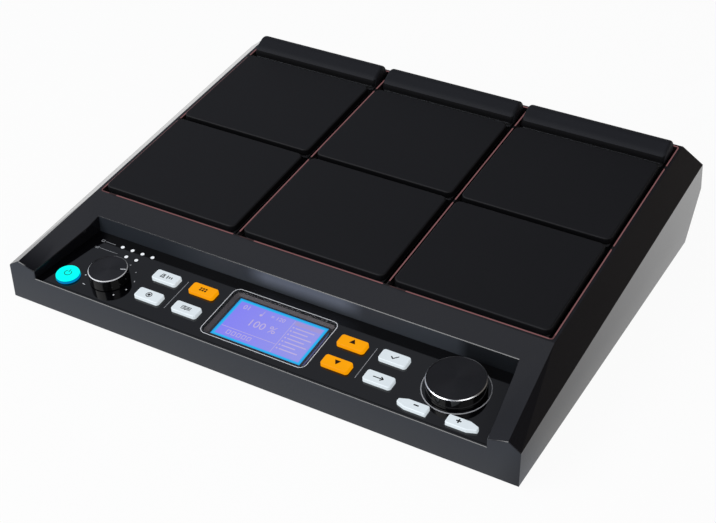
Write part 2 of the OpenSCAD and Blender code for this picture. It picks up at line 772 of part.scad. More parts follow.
module knob(radius, draft) {
    top = knob_rise;
    low = knob_gap;
    roof = top - knob_top_t;
    rotate_extrude($fn = 96) polygon([
        [knob_hub_r, low], [knob_hub_r, roof], [radius - knob_wall, roof], [radius - knob_wall, low],
        [radius + draft, low], [radius, top - knob_edge], [radius - knob_edge, top],
        [radius - knob_edge - knob_dish, top - knob_dish], [0, top - knob_dish],
        [0, roof + shaft_gap], [shaft_r + shaft_gap, roof + shaft_gap], [shaft_r + shaft_gap, low]
    ]);
}

module volume_knob() {
    pointer_len = 4;
    pointer_w = 0.9;
    pointer_sink = 0.35;
    pointer_in = volume_r - knob_edge - knob_dish - pointer_len;
    color("#0e0e10") housing_frame() on_panel() translate([volume_at[0], volume_at[1], 0]) difference() {
        knob(volume_r, 0.3);
        rotate([0, 0, pointer_angle]) translate([pointer_in, -pointer_w / 2, knob_rise - knob_dish - pointer_sink])
            cube([pointer_len, pointer_w, cut]);
    }
}

module dial_knob() {
    color("#0e0e10") housing_frame() on_panel() translate([dial_at[0], dial_at[1], 0]) knob(dial_r, 0.3);
}

module shaft_at(place) {
    low = shaft_foot - board_drop;
    color("#9c9ea2") housing_frame() on_panel() translate([place[0], place[1], low])
        cylinder(r = shaft_r, h = knob_rise - knob_top_t - low);
}

module volume_shaft() { shaft_at(volume_at); }
module dial_shaft() { shaft_at(dial_at); }

module turning_part(place, size, height, tint) {
    color(tint) housing_frame() on_panel() translate([place[0], place[1], 0]) difference() {
        union() {
            translate([-size / 2, -size / 2, -board_drop]) cube([size, size, height]);
            translate([0, 0, -board_drop]) cylinder(r = neck_r, h = board_drop + neck_top);
        }
        translate([0, 0, shaft_foot - shaft_gap - board_drop])
            cylinder(r = shaft_r + shaft_gap, h = board_drop + cut);
    }
}

pot_size = 10;
pot_h = 5;
encoder_size = 12;
encoder_h = 6;

module volume_pot() { turning_part(volume_at, pot_size, pot_h, "#3f6b46"); }
module dial_encoder() { turning_part(dial_at, encoder_size, encoder_h, "#55585c"); }

// Bright ring let into the panel round the dial
ring_sink = 0.5;
ring_proud = 0.25;

module ring_band(gap, height) {
    difference() {
        cylinder(r = ring_r + gap, h = height, $fn = 96);
        translate([0, 0, -cut]) cylinder(r = ring_r - ring_w - gap, h = height + 2 * cut, $fn = 96);
    }
}

module dial_ring() {
    color("#c4c8cc") housing_frame() on_panel() translate([dial_at[0], dial_at[1], boss_gap - ring_sink])
        ring_band(0, ring_sink + ring_proud - boss_gap);
}

// Display: window, metal frame, glass, backlight and board, one under the other
board_level = board_t - board_drop;

module at_display() { housing_frame() on_panel() translate([0, window_row, 0]) children(); }

module display_window() {
    color("#20242c", 0.4) at_display() round_plate(window_w, window_d, window_r, -window_t, 0);
}

module display_frame() {
    inner_w = frame_w - 2 * frame_wall;
    inner_d = frame_d - 2 * frame_wall;
    frame_top = -panel_t - boss_gap;
    color("#1a1b1e") at_display() difference() {
        round_plate(frame_w, frame_d, frame_wall, board_level, frame_top);
        translate([-screen_w / 2, -screen_d / 2, -board_drop]) cube([screen_w, screen_d, board_drop]);
        translate([-inner_w / 2, -inner_d / 2, board_level - cut])
            cube([inner_w, inner_d, -screen_drop - board_level + cut]);
    }
}

module display_glass() {
    color("#8f86f2") at_display() display_layer(-screen_drop - glass_t, -screen_drop);
}

module display_backlight() {
    color("#d9e4ff") at_display() display_layer(board_level, -screen_drop - glass_t);
}

module display_layer(low, high) {
    w = frame_w - 2 * frame_wall - 2 * window_gap;
    d = frame_d - 2 * frame_wall - 2 * window_gap;
    translate([-w / 2, -d / 2, low]) cube([w, d, high - low]);
}

module display_board() {
    color("#1f5a34") at_display() translate([-frame_w / 2, -frame_d / 2, -board_drop])
        cube([frame_w, frame_d, board_t]);
}

module indicator_lenses() {
    proud = 0.15;
    color("#f2f4f5") housing_frame() on_panel() at_each(led_places) translate([0, 0, -board_drop])
        cylinder(r = led_r, h = board_drop + proud);
}

// Panel board with its screws
panel_board_w = 314;
panel_board_front = 5;
panel_board_d = 52.5;

module panel_board() {
    color("#1f5a34") housing_frame() on_panel() difference() {
        translate([-panel_board_w / 2, panel_board_front, -board_drop - board_t])
            cube([panel_board_w, panel_board_d, board_t]);
        at_each(panel_screw_places) translate([0, 0, -board_drop - board_t - cut])
            cylinder(r = small_screw_r + fit_gap, h = board_t + 2 * cut);
    }
}

module panel_screws() {
    color("#8a8c90") housing_frame() on_panel() at_each(panel_screw_places)
        translate([0, 0, -board_drop - board_t - small_head_h])
            down_screw(small_screw_r, small_head_r, small_head_h, small_head_h + board_t + panel_screw_bite);
}

// Main board on the bottom cover's standoffs: processor, memory, capacitors and a plug strip
chip_h = 2;
processor_w = 24;
memory_w = 18;
memory_d = 12;
memory_x = -51;
capacitor_r = 5;
capacitor_h = 12;
capacitor_pitch = 14;
capacitor_x = 74;
strip_w = 30;
strip_d = 6;
strip_h = 7;
strip_x = -81;
strip_in = 16;

module main_board() {
    color("#1f5a34") housing_frame() difference() {
        union() {
            translate([-main_board_w / 2, main_board_front, main_board_h])
                cube([main_board_w, main_board_d, board_t]);
            translate([0, main_board_front + main_board_d / 2, main_board_h + board_t]) {
                translate([-processor_w / 2, -processor_w / 2, 0]) cube([processor_w, processor_w, chip_h]);
                translate([memory_x - memory_w / 2, -memory_d / 2, 0]) cube([memory_w, memory_d, chip_h]);
                for (i = [-1:1]) translate([capacitor_x + i * capacitor_pitch, 0, 0])
                    cylinder(r = capacitor_r, h = capacitor_h);
                translate([strip_x - strip_w / 2, strip_in - main_board_d / 2, 0])
                    cube([strip_w, strip_d, strip_h]);
            }
        }
        at_each(board_corners) translate([0, 0, main_board_h - cut])
            cylinder(r = small_screw_r + fit_gap, h = board_t + 2 * cut);
    }
}

module board_screws() {
    color("#8a8c90") housing_frame() at_each(board_corners)
        translate([0, 0, main_board_h + board_t + small_head_h]) mirror([0, 0, 1])
            down_screw(small_screw_r, small_head_r, small_head_h, small_head_h + board_t + board_screw_bite);
}

// Sockets on the back face, with the board behind them
inlet_neck_r = 4.6;
inlet_bore_r = 3.1;
inlet_pin_r = 1;
inlet_pin_in = 2;
socket_bore_end = 9;
usb_w = 12;
usb_h = 11;
socket_board_w = 300;
socket_board_up = 22;

module back_cylinder(radius, from, to) {
    translate([0, to, 0]) rotate([90, 0, 0]) cylinder(r = radius, h = to - from);
}

module back_box(w, h, from, to) {
    translate([-w / 2, from, -h / 2]) cube([w, to - from, h]);
}

module at_socket(x) { housing_frame() on_back() translate([x, 0, socket_up]) children(); }

module jack(index) {
    back = -wall - jack_depth;
    color("#1a1a1a") at_socket(jack_places[index]) difference() {
        union() {
            back_box(jack_size, jack_size, back, -wall);
            back_cylinder(jack_neck_r, back, jack_out);
        }
        back_cylinder(jack_bore_r, back + jack_bore_end, jack_out + cut);
    }
}

module output_jack_left() { jack(0); }
module output_jack_right() { jack(1); }
module phones_jack() { jack(2); }
module trigger_jack() { jack(3); }
module footswitch_jack() { jack(4); }

module jack_nuts() {
    color("#b9bcc0") for (x = jack_places) at_socket(x) difference() {
        translate([0, nut_t, 0]) rotate([90, 0, 0]) cylinder(r = nut_r, h = nut_t, $fn = 6);
        back_cylinder(jack_neck_r + boss_gap, -cut, nut_t + cut);
    }
}

module power_inlet() {
    back = -wall - jack_depth;
    color("#1a1a1a") at_socket(inlet_x) difference() {
        union() {
            back_box(jack_size - 4, jack_size - 2, back, -wall);
            back_cylinder(inlet_neck_r, back, 0);
        }
        difference() {
            back_cylinder(inlet_bore_r, back + socket_bore_end, cut);
            back_cylinder(inlet_pin_r, back, -inlet_pin_in);
        }
    }
}

module usb_socket() {
    back = -wall - jack_depth;
    rim = 0.8;
    tongue_w = 5.6;
    tongue_h = 3.2;
    tongue_in = 1.5;
    color("#b9bcc0") at_socket(usb_x) difference() {
        back_box(usb_w, usb_h, back, 0);
        difference() {
            back_box(usb_w - 2 * rim, usb_h - 2 * rim, back + socket_bore_end, cut);
            back_box(tongue_w, tongue_h, back, -tongue_in);
        }
    }
}

module jack_board() {
    color("#1f5a34") at_socket(0)
        back_box(socket_board_w, socket_board_up, -wall - jack_depth - board_t, -wall - jack_depth);
}

top_shell();
bottom_cover();
control_panel();
light_guide();
pad_front_left();
pad_front_middle();
pad_front_right();
pad_back_left();
pad_back_middle();
pad_back_right();
bar_left();
bar_middle();
bar_right();
pad_plates();
foam_sheets();
piezo_discs();
power_button();
metronome_button();
record_button();
kit_button();
setup_button();
up_button();
down_button();
confirm_button();
select_button();
minus_button();
plus_button();
volume_knob();
volume_shaft();
volume_pot();
dial_knob();
dial_shaft();
dial_encoder();
dial_ring();
display_window();
display_frame();
display_glass();
display_backlight();
display_board();
indicator_lenses();
key_switches();
panel_board();
panel_screws();
main_board();
board_screws();
jack_board();
output_jack_left();
output_jack_right();
phones_jack();
trigger_jack();
footswitch_jack();
jack_nuts();
power_inlet();
usb_socket();
rubber_feet();
cover_screws();
stand_inserts();
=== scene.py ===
# %% [markdown]
# A percussion pad for the table top
# This lesson dresses a finished CAD model: a black wedge-shaped housing with six rubber pads,
# three raised bars, a red light guide and a glossy control panel. The CAD model is the frame.
# Its pieces stay where they are, and they get finishes, soft edges, printed marks and light.

# %% Load the frame
import json
import math

import bmesh
import bpy
from mathutils import Matrix, Vector
from mathutils.bvhtree import BVHTree

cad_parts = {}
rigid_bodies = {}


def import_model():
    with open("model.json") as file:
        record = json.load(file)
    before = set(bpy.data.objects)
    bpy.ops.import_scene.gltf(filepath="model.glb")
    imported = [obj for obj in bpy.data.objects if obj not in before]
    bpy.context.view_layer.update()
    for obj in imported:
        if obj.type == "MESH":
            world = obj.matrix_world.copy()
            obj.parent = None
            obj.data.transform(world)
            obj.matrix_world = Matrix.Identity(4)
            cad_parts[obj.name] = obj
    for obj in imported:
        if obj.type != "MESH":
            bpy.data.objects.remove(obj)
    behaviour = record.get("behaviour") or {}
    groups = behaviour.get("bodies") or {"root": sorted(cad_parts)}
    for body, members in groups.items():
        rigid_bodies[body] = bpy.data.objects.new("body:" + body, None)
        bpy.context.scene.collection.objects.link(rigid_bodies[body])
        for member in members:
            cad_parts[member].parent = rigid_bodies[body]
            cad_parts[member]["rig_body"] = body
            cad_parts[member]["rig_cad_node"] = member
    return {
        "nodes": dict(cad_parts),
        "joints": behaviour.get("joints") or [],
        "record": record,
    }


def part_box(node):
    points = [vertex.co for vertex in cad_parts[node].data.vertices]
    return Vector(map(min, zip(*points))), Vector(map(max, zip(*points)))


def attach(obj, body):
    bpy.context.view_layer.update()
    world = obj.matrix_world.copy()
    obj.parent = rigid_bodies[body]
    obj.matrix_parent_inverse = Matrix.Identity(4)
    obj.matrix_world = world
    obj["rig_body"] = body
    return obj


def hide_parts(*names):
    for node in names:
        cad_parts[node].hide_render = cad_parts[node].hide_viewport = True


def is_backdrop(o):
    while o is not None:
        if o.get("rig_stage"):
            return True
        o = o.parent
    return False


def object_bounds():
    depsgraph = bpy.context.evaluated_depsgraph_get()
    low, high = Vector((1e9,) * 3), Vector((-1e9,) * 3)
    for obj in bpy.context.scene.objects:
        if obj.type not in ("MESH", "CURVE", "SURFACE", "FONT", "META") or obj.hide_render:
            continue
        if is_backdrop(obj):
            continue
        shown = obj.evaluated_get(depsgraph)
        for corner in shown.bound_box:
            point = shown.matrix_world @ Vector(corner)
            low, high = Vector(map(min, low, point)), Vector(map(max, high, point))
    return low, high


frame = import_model()
CAD_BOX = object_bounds()
MM = 0.001
print("pieces in the frame:", len(frame["nodes"]))

# %% [markdown]
# Two slanted work planes
# The panel and the deck lean back by the same angle. A mark is easier to lay out on a flat sheet that is
# tilted afterwards, so each plane gets a matrix. On a sheet, x runs to the right, y up the slope from the
# front face, and z above the surface. The lean is read from the dial's axis, which stands square on the
# panel, and the deck's level from the top of the light guide.

# %% Work planes
joints = {joint["name"]: joint for joint in frame["joints"]}
dial_axis = Vector(joints["dial_turn"]["axis"])
dial_place = Vector(joints["dial_turn"]["pos_m"])
LEAN = math.atan2(-dial_axis.y, dial_axis.z)
FRONT_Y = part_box("top_shell")[0].y
PANEL_FRONT_Z = dial_place.z - (dial_place.y - FRONT_Y) * math.tan(LEAN)


def slanted_plane(front_z):
    """The sheet that leans back from a height at the front face."""
    return Matrix.Translation((0, FRONT_Y, front_z)) @ Matrix.Rotation(LEAN, 4, "X")


def box_of(points):
    """The lowest and the highest corner of the box round some points."""
    return [Vector(end(point[i] for point in points) for i in range(3)) for end in (min, max)]


def extent(node, plane):
    """A CAD node's lowest and highest corners, measured on a slanted plane."""
    flat = plane.inverted()
    return box_of([flat @ vertex.co for vertex in frame["nodes"][node].data.vertices])


PANEL = slanted_plane(PANEL_FRONT_Z)
ONTO_PANEL = PANEL.inverted()
deck_over_panel = extent("light_guide", PANEL)[1].z / math.cos(LEAN)
DECK = slanted_plane(PANEL_FRONT_Z + deck_over_panel)
print("lean of the deck:", round(math.degrees(LEAN), 2), "degrees")

# %% [markdown]
# The camera
# The photograph was taken from the right front, a good arm's length away, with a short telephoto lens.
# The place and the angles below come from fitting the housing's own corners to the picture.

# %% Camera
CAMERA_PLACE = (0.41277, -0.71141, 0.59121)
CAMERA_TURN = (54.419, 0.664, 29.997)
LENS_MM = 71.64
bpy.ops.object.camera_add(location=CAMERA_PLACE, rotation=[math.radians(a) for a in CAMERA_TURN])
camera = bpy.context.object
camera.name = "camera"
camera.data.lens = LENS_MM
camera.data.sensor_width = 36
bpy.context.scene.camera = camera
bpy.context.scene.view_settings.view_transform = "Standard"
print("camera lens:", LENS_MM, "mm")

# %% [markdown]
# Shader maths as plain expressions
# Every finish here is a sheet of shader nodes. Placing nodes by hand makes formulas hard to read, so a
# small class wraps a socket: adding or multiplying two wires adds the Math node. Everything that isn't
# arithmetic goes through one method, which takes a node's type, its sockets and its settings.

# %% Wires and sheets
def wire_first(operation):
    """A method that adds a Math node, with the wire in its first socket."""
    return lambda wire, other: wire.math(operation, wire, other)


def wire_second(operation):
    """A method that adds a Math node, with the wire in its second socket."""
    return lambda wire, other: wire.math(operation, other, wire)


class Wire:
    """An output socket that can be used in a Python expression."""

    __add__ = wire_first("ADD")
    __radd__ = wire_second("ADD")
    __sub__ = wire_first("SUBTRACT")
    __rsub__ = wire_second("SUBTRACT")
    __mul__ = wire_first("MULTIPLY")
    __truediv__ = wire_first("DIVIDE")
    __gt__ = wire_first("GREATER_THAN")
    __lt__ = wire_first("LESS_THAN")
    at_most = wire_first("MINIMUM")
    at_least = wire_first("MAXIMUM")

    def __init__(self, sheet, socket):
        self.sheet = sheet
        self.socket = socket

    def math(self, operation, first, second):
        return self.sheet.add("Math", {0: first, 1: second}, operation=operation)

    def output(self, name):
        """Another output of the same node."""
        return Wire(self.sheet, self.socket.node.outputs[name])

    def size(self):
        return self.math("ABSOLUTE", self, 0)

    def rise(self, start, end):
        """A ramp from 0 at one value to 1 at another."""
        return ((self - start) / (end - start)).at_least(0.0).at_most(1.0)


class Sheet:
    """The node sheet of one material or of the world."""

    def __init__(self, owner):
        owner.use_nodes = True
        self.owner = owner
        self.tree = owner.node_tree
        self.tree.nodes.clear()

    def add(self, kind, sockets=None, output=0, **settings):
        """Adds a node with its settings, fills its sockets and gives back one output."""
        node = self.tree.nodes.new("ShaderNode" + kind)
        for name, value in settings.items():
            setattr(node, name, value)
        for name, value in (sockets or {}).items():
            self.plug(node.inputs[name], value)
        return Wire(self, node.outputs[output]) if len(node.outputs) else node

    def plug(self, socket, value):
        if isinstance(value, Wire):
            self.tree.links.new(value.socket, socket)
        else:
            socket.default_value = value

    def place(self):
        """Object coordinates, which stay with a piece wherever it goes."""
        return self.add("TexCoord", output="Object")

    def flat(self, plane):
        """A point's place on a slanted plane, in millimetres: across, up the slope and above."""
        return self.add("Mapping", {
            "Vector": self.place(),
            "Location": plane.translation,
            "Rotation": (LEAN, 0, 0),
            "Scale": (MM, MM, MM),
        }, "Vector", vector_type="TEXTURE")

    def split(self, vector):
        x = self.add("SeparateXYZ", {"Vector": vector}, "X")
        return x, x.output("Y"), x.output("Z")

    def noise(self, cycles_per_mm, detail, vector=None):
        sockets = {"Vector": vector or self.place(), "Scale": cycles_per_mm / MM, "Detail": detail}
        return self.add("TexNoise", sockets, "Fac")

    def mix(self, factor, first, second):
        """A blend of two colours."""
        sockets = {0: factor, 6: first, 7: second}
        return self.add("Mix", sockets, 2, data_type="RGBA")

    def ramp(self, value, stops):
        """A row of colours, each with its place between 0 and 1."""
        wire = self.add("ValToRGB", {"Fac": value}, "Color")
        elements = wire.socket.node.color_ramp.elements
        for element, (position, colour) in zip(elements, stops):
            element.position = position
            element.color = colour
        for position, colour in stops[2:]:
            elements.new(position).color = colour
        return wire

    def bump(self, height, strength, depth):
        sockets = {"Strength": strength, "Distance": depth, "Height": height}
        return self.add("Bump", sockets, "Normal")

    def surface(self, shader):
        """Ends the sheet with a shader and gives back the material."""
        self.add("OutputMaterial", {"Surface": shader})
        return self.owner

    def principled(self, sockets):
        return self.surface(self.add("BsdfPrincipled", sockets))


def linear(red, green, blue):
    """A colour written as it looks on the screen, from 0 to 255, as the shader wants it."""

    def one(value):
        value = value / 255
        return value / 12.92 if value <= 0.04045 else ((value + 0.055) / 1.055) ** 2.4

    return (one(red), one(green), one(blue), 1.0)


def shade(colour, factor):
    """A colour made darker or lighter, as the shader wants it."""
    return tuple(factor * part for part in linear(*colour)[:3]) + (1.0,)


def finish(name):
    """The empty sheet of a new material."""
    return Sheet(bpy.data.materials.new(name))


# %% [markdown]
# Black plastic, black gloss and black rubber
# Three blacks make this object, and only their surfaces tell them apart. The shell is satin with a fine
# moulded grain: dull where it is looked at squarely and a mirror at a flat angle, which a thin clear coat
# gives. The panel is polished and almost pure black, so what is seen of it is reflection. The pads are
# rubber, with a duller and coarser grain. The grain comes from Object coordinates, in millimetres.

# %% Black finishes
def grained_plastic(name, colour, roughness, grain_per_mm, grain_depth, specular=0.5, coat=0.0):
    """Moulded plastic or rubber: an even colour with a fine grain and a slightly uneven sheen."""
    sheet = finish(name)
    cloud = sheet.noise(0.02, 3.0)
    grain = sheet.noise(grain_per_mm, 1.0)
    return sheet.principled({
        "Base Color": sheet.mix(cloud, shade(colour, 0.85), shade(colour, 1.15)),
        "Roughness": roughness + (cloud - 0.5) * 0.08 + (grain - 0.5) * 0.06,
        "Specular IOR Level": specular,
        "Coat Weight": coat,
        "Coat Roughness": 0.1,
        "Normal": sheet.bump(grain, 0.35, grain_depth * MM),
    })


# Painted light on the recess's back wall, in millimetres across and above the panel: a painted shade toward
# the left end, a painted reflection of the dark dial at the right end, and the display's light painted on
# as a glow in the middle.
LEFT_PAINTED_SHADE = (-105, -65)
DIAL_PAINTED_REFLECTION = (118, 126)
GLOW_LEFT = (-37, -22)
GLOW_RIGHT = (36, 52)
GLOW_UP = (1, 8)


def recess_plastic(name):
    """The recess's back wall: painted shade at the ends and a painted glow of the display between."""
    sheet = finish(name)
    across, _, above = sheet.split(sheet.flat(PANEL))
    grain = sheet.noise(2.2, 1.0)
    tone_with_left_shade = sheet.mix(across.rise(*LEFT_PAINTED_SHADE), linear(36, 40, 46), linear(51, 55, 61))
    glow = across.rise(*GLOW_LEFT) * (1 - across.rise(*GLOW_RIGHT)) * above.rise(*GLOW_UP)
    return sheet.principled({
        "Base Color": sheet.mix(across.rise(*DIAL_PAINTED_REFLECTION), tone_with_left_shade, linear(19, 22, 26)),
        "Emission Color": sheet.mix(glow, (0, 0, 0, 1), linear(72, 76, 86)),
        "Emission Strength": 1.0,
        "Roughness": 0.6 + (grain - 0.5) * 0.06,
        "Specular IOR Level": 0.2,
        "Normal": sheet.bump(grain, 0.35, 0.03 * MM),
    })


def polished_plastic(name, colour, roughness):
    """High-gloss plastic with the faint waviness of a moulded surface."""
    sheet = finish(name)
    wave = sheet.noise(0.03, 1.0)
    smudge = sheet.noise(0.008, 4.0)
    return sheet.principled({
        "Base Color": sheet.mix(smudge, shade(colour, 0.9), shade(colour, 1.1)),
        "Roughness": roughness + smudge * 0.03,
        "Normal": sheet.bump(wave, 0.05, 0.05 * MM),
    })


SHELL = grained_plastic("shell_satin", (17, 17, 21), 0.38, 2.2, 0.03, 0.06, 1.0)
RECESS = recess_plastic("recess_satin_painted_light")
COVER = grained_plastic("cover_grain", (30, 30, 33), 0.6, 1.6, 0.05)
PANEL_GLOSS = polished_plastic("panel_gloss", (5, 5, 7), 0.05)
RUBBER = grained_plastic("soft_rubber", (19, 19, 22), 0.6, 1.4, 0.04, 0.24)
BAR_RUBBER = grained_plastic("bar_rubber", (33, 34, 38), 0.6, 1.4, 0.04, 0.12)
# A near-black copy of the rubber, painted on faces in the gaps as shade.
RUBBER_PAINTED_SHADE = grained_plastic("rubber_painted_shade", (7, 7, 9), 0.7, 1.4, 0.04, 0.1)
FOOT = grained_plastic("foot_rubber", (22, 22, 22), 0.8, 1.0, 0.05, 0.35)
SOCKET = grained_plastic("socket_plastic", (24, 24, 25), 0.45, 1.5, 0.02)
COMPONENT = grained_plastic("component_plastic", (52, 52, 54), 0.5, 1.5, 0.02)
FOAM = grained_plastic("foam_grey", (70, 70, 74), 0.95, 0.9, 0.3, 0.2)
BOARD = grained_plastic("board_green", (22, 92, 52), 0.4, 0.4, 0.02)
# A grey for the display's slopes that face the lamps: painted light.
BEZEL_PAINTED_LIGHT = grained_plastic("bezel_painted_light", (90, 84, 81), 0.75, 1.6, 0.03, 0.3)
LENS_RIM = grained_plastic("lens_rim", (14, 14, 15), 0.3, 2.0, 0.01)
print("black finishes:", SHELL.name, PANEL_GLOSS.name, RUBBER.name)

# %% [markdown]
# Metals
# The bright parts are small: shafts, nuts, screws, the cut edges of the knobs and the ring round the dial.
# A metal is told by its streaks, so the roughness follows noise that is stretched along one direction. The
# ring and the volume knob's edge are satin, and the grained finish does for them in a pale grey.

# %% Metals
STREAK_STRETCH = (1, 1, 12)


def streaked_metal(name, colour, roughness, streak=1.0):
    """Metal with fine drawn or turned streaks, which a polished cut has less of."""
    sheet = finish(name)
    stretched = {"Vector": sheet.place(), "Scale": STREAK_STRETCH}
    streaks = sheet.noise(0.6, 2.0, sheet.add("Mapping", stretched, "Vector"))
    return sheet.principled({
        "Base Color": sheet.mix(streaks, shade(colour, 0.9), linear(*colour)),
        "Metallic": 1.0,
        "Roughness": roughness + (streaks - 0.5) * 0.2 * streak,
        "Normal": sheet.bump(streaks, 0.1 * streak, 0.02 * MM),
    })


STEEL = streaked_metal("turned_steel", (190, 191, 194), 0.32)
DARK_STEEL = streaked_metal("blackened_steel", (70, 70, 74), 0.4)
CHROME = streaked_metal("plated_nut", (216, 217, 220), 0.14)
BRASS = streaked_metal("brass", (205, 168, 92), 0.3)
ALUMINIUM = streaked_metal("rolled_aluminium", (196, 198, 202), 0.35)
BRIGHT_CUT = streaked_metal("bright_cut_edge", (232, 233, 236), 0.3, 0.1)
SATIN_CUT = grained_plastic("satin_cut_edge", (214, 215, 218), 0.3, 3.0, 0.005)
RING = grained_plastic("dial_ring_silver", (172, 173, 176), 0.4, 3.0, 0.01)
FRAME_METAL = grained_plastic("frame_paint", (26, 26, 28), 0.4, 1.0, 0.02)
print("metals:", STEEL.name, CHROME.name, BRASS.name)

# %% [markdown]
# Lit plastic
# The buttons, the indicators and the display are lit from inside. Their plastic is milky, so the colour
# comes partly from the lamps in the room and partly from a glow of its own, which is a little uneven
# because the small lamps behind it sit under the middle.

# %% Lit plastics
def lit_plastic(name, colour, glow_colour, glow, specular=0.4, patch=0.12):
    """Milky plastic with light behind it."""
    sheet = finish(name)
    cloud = sheet.noise(0.06, 1.0)
    fine = sheet.noise(2.0, 1.0)
    return sheet.principled({
        "Base Color": sheet.mix(cloud, shade(colour, 0.95), linear(*colour)),
        "Roughness": 0.34 + (fine - 0.5) * 0.1,
        "Specular IOR Level": specular,
        "Emission Color": sheet.mix(cloud, shade(glow_colour, 1 - patch), linear(*glow_colour)),
        "Emission Strength": glow,
        "Normal": sheet.bump(fine, 0.08, 0.02 * MM),
    })


# The finishes for the sides carry painted light and shade: the white sides glow more than the tops, the
# amber sides a little dimmer.
WHITE_KEY = lit_plastic("white_key", (184, 191, 194), (222, 232, 238), 0.54)
WHITE_SIDE_PAINTED_GLOW = lit_plastic("white_key_side_painted_glow", (184, 191, 194), (222, 232, 238), 0.6)
AMBER_KEY = lit_plastic("amber_key", (120, 64, 0), (255, 170, 2), 0.88, 0.1)
AMBER_SIDE_PAINTED_SHADE = lit_plastic("amber_key_side_painted_shade", (120, 64, 0), (255, 165, 2), 0.86, 0.1)
CYAN_KEY = lit_plastic("cyan_key", (0, 60, 62), (2, 245, 227), 1.2, 0.05, 0.03)
CYAN_RIM = lit_plastic("cyan_rim", (0, 40, 70), (0, 140, 205), 0.8, 0.1)
LENS = lit_plastic("indicator_lens", (200, 203, 205), (240, 244, 248), 0.6)
BACKLIGHT = lit_plastic("backlight", (220, 228, 245), (200, 215, 255), 0.4)
SCREEN_INK = lit_plastic("screen_ink", (40, 38, 50), (206, 192, 240), 0.9, 0.2)
SCREEN_SHADE = lit_plastic("screen_shade", (40, 38, 50), (176, 164, 232), 0.9, 0.2)
WHITE_PRINT = grained_plastic("white_print", (225, 227, 230), 0.5, 3.0, 0.01)
GREY_PRINT = grained_plastic("grey_print", (158, 160, 164), 0.5, 3.0, 0.01)
BLACK_PRINT = grained_plastic("black_print", (20, 20, 23), 0.5, 3.0, 0.01, 0.2)
BROWN_PRINT = grained_plastic("brown_print", (40, 18, 2), 0.5, 3.0, 0.01, 0.2)
TEAL_PRINT = grained_plastic("teal_print", (0, 84, 92), 0.5, 3.0, 0.01, 0.2)
print("lit finishes:", WHITE_KEY.name, AMBER_KEY.name, CYAN_KEY.name)

# %% [markdown]
# The red line
# The light guide is a thin upright fin of clear red plastic round the pads. Only its top is seen and only
# the top glows. Lamps stand under the long stretches, so the line is dull where a stretch begins and dark
# where two stretches meet. The mask below says where a point is on the deck and how much light gets there.

# %% Light guide finish
COLUMN_PITCH = 115.2
PAD_HALF = 54.5
LINE_OVER = 0.6
LINE_DULL = 11.0
LINE_FRONT = extent("light_guide", DECK)[0].y / MM
FRONT_STRETCH = LINE_FRONT + 4.5
STRETCH_ENDS = (176.25, 271.75)
STRETCH_GAP = 1.7
OUTER_CORNER = 165
LEFT_LINE = (-172, -168)
FIN_TOP = -0.3
DULL_LIGHT = 0.12
CORNER_LIGHT = 0.5
FRONT_LIGHT = 0.8


def guide_plastic(name):
    """Red plastic that glows along the top of the fin."""
    sheet = finish(name)
    across, along, above = sheet.split(sheet.flat(DECK))
    in_column = sheet.add("Math", {0: across, 1: COLUMN_PITCH / 2, 2: -COLUMN_PITCH / 2}, operation="WRAP")
    in_front = along < FRONT_STRETCH
    beside_pad = in_column.size() < PAD_HALF + LINE_OVER
    bright_part = beside_pad * (in_column > LINE_DULL - PAD_HALF)
    outer_corner = (across.size() > OUTER_CORNER) * CORNER_LIGHT
    front_light = in_front * (bright_part + (beside_pad - bright_part) * DULL_LIGHT).at_least(outer_corner)
    side_light = 1 - in_front
    for end in STRETCH_ENDS:
        side_light = side_light * ((along - end).size() > STRETCH_GAP)
    side_light = side_light * (0.7 + across.rise(*LEFT_LINE) * 0.1)
    cloud = sheet.noise(0.05, 2.0)
    light = (front_light * FRONT_LIGHT + side_light) * (above > FIN_TOP) * (0.8 + cloud * 0.4)
    return sheet.principled({
        "Base Color": sheet.mix(light, linear(44, 38, 39), linear(70, 34, 34)),
        "Roughness": 0.4 + cloud * 0.1,
        "Specular IOR Level": 0.2,
        "Emission Color": sheet.mix(light, (0, 0, 0, 1), linear(138, 96, 98)),
        "Emission Strength": 0.9,
    })


GUIDE = guide_plastic("light_guide_red")
print("red line: starts", round(LINE_FRONT, 1), "mm up the slope")

# %% [markdown]
# Finishes for the CAD pieces
# The record gives each CAD node a slot, and a table leads from slot to finish. The window and the picture
# of the display are left out here, because their finishes are made further on.

# %% Dress the CAD pieces
SLOT_FINISH = {
    "shell_plastic": SHELL,
    "cover_plastic": COVER,
    "panel_plastic": PANEL_GLOSS,
    "pad_rubber": RUBBER,
    "guide_plastic": GUIDE,
    "plate_aluminium": ALUMINIUM,
    "foam": FOAM,
    "piezo_brass": BRASS,
    "white_key": WHITE_KEY,
    "amber_key": AMBER_KEY,
    "cyan_key": CYAN_KEY,
    "knob_plastic": PANEL_GLOSS,
    "shaft_steel": STEEL,
    "control_bodies": COMPONENT,
    "ring_metal": RING,
    "frame_metal": FRAME_METAL,
    "backlight_plastic": BACKLIGHT,
    "board": BOARD,
    "screw_steel": DARK_STEEL,
    "socket_plastic": SOCKET,
    "nut_chrome": CHROME,
    "foot_rubber": FOOT,
    "insert_brass": BRASS,
}
slot_of = {part["node"]: part["material_slot"] for part in frame["record"]["subparts"]}
bodies = frame["record"]["behaviour"]["bodies"]
body_of = {member: body for body, members in bodies.items() for member in members}


def coat(piece, *materials):
    """Gives a piece its finishes; faces start with the first one."""
    piece.data.materials.clear()
    for material in materials:
        piece.data.materials.append(material)


dressed = [node for node, slot in slot_of.items() if slot in SLOT_FINISH]
for node in dressed:
    coat(frame["nodes"][node], SLOT_FINISH[slot_of[node]])
print("finishes set on", len(dressed), "CAD pieces")

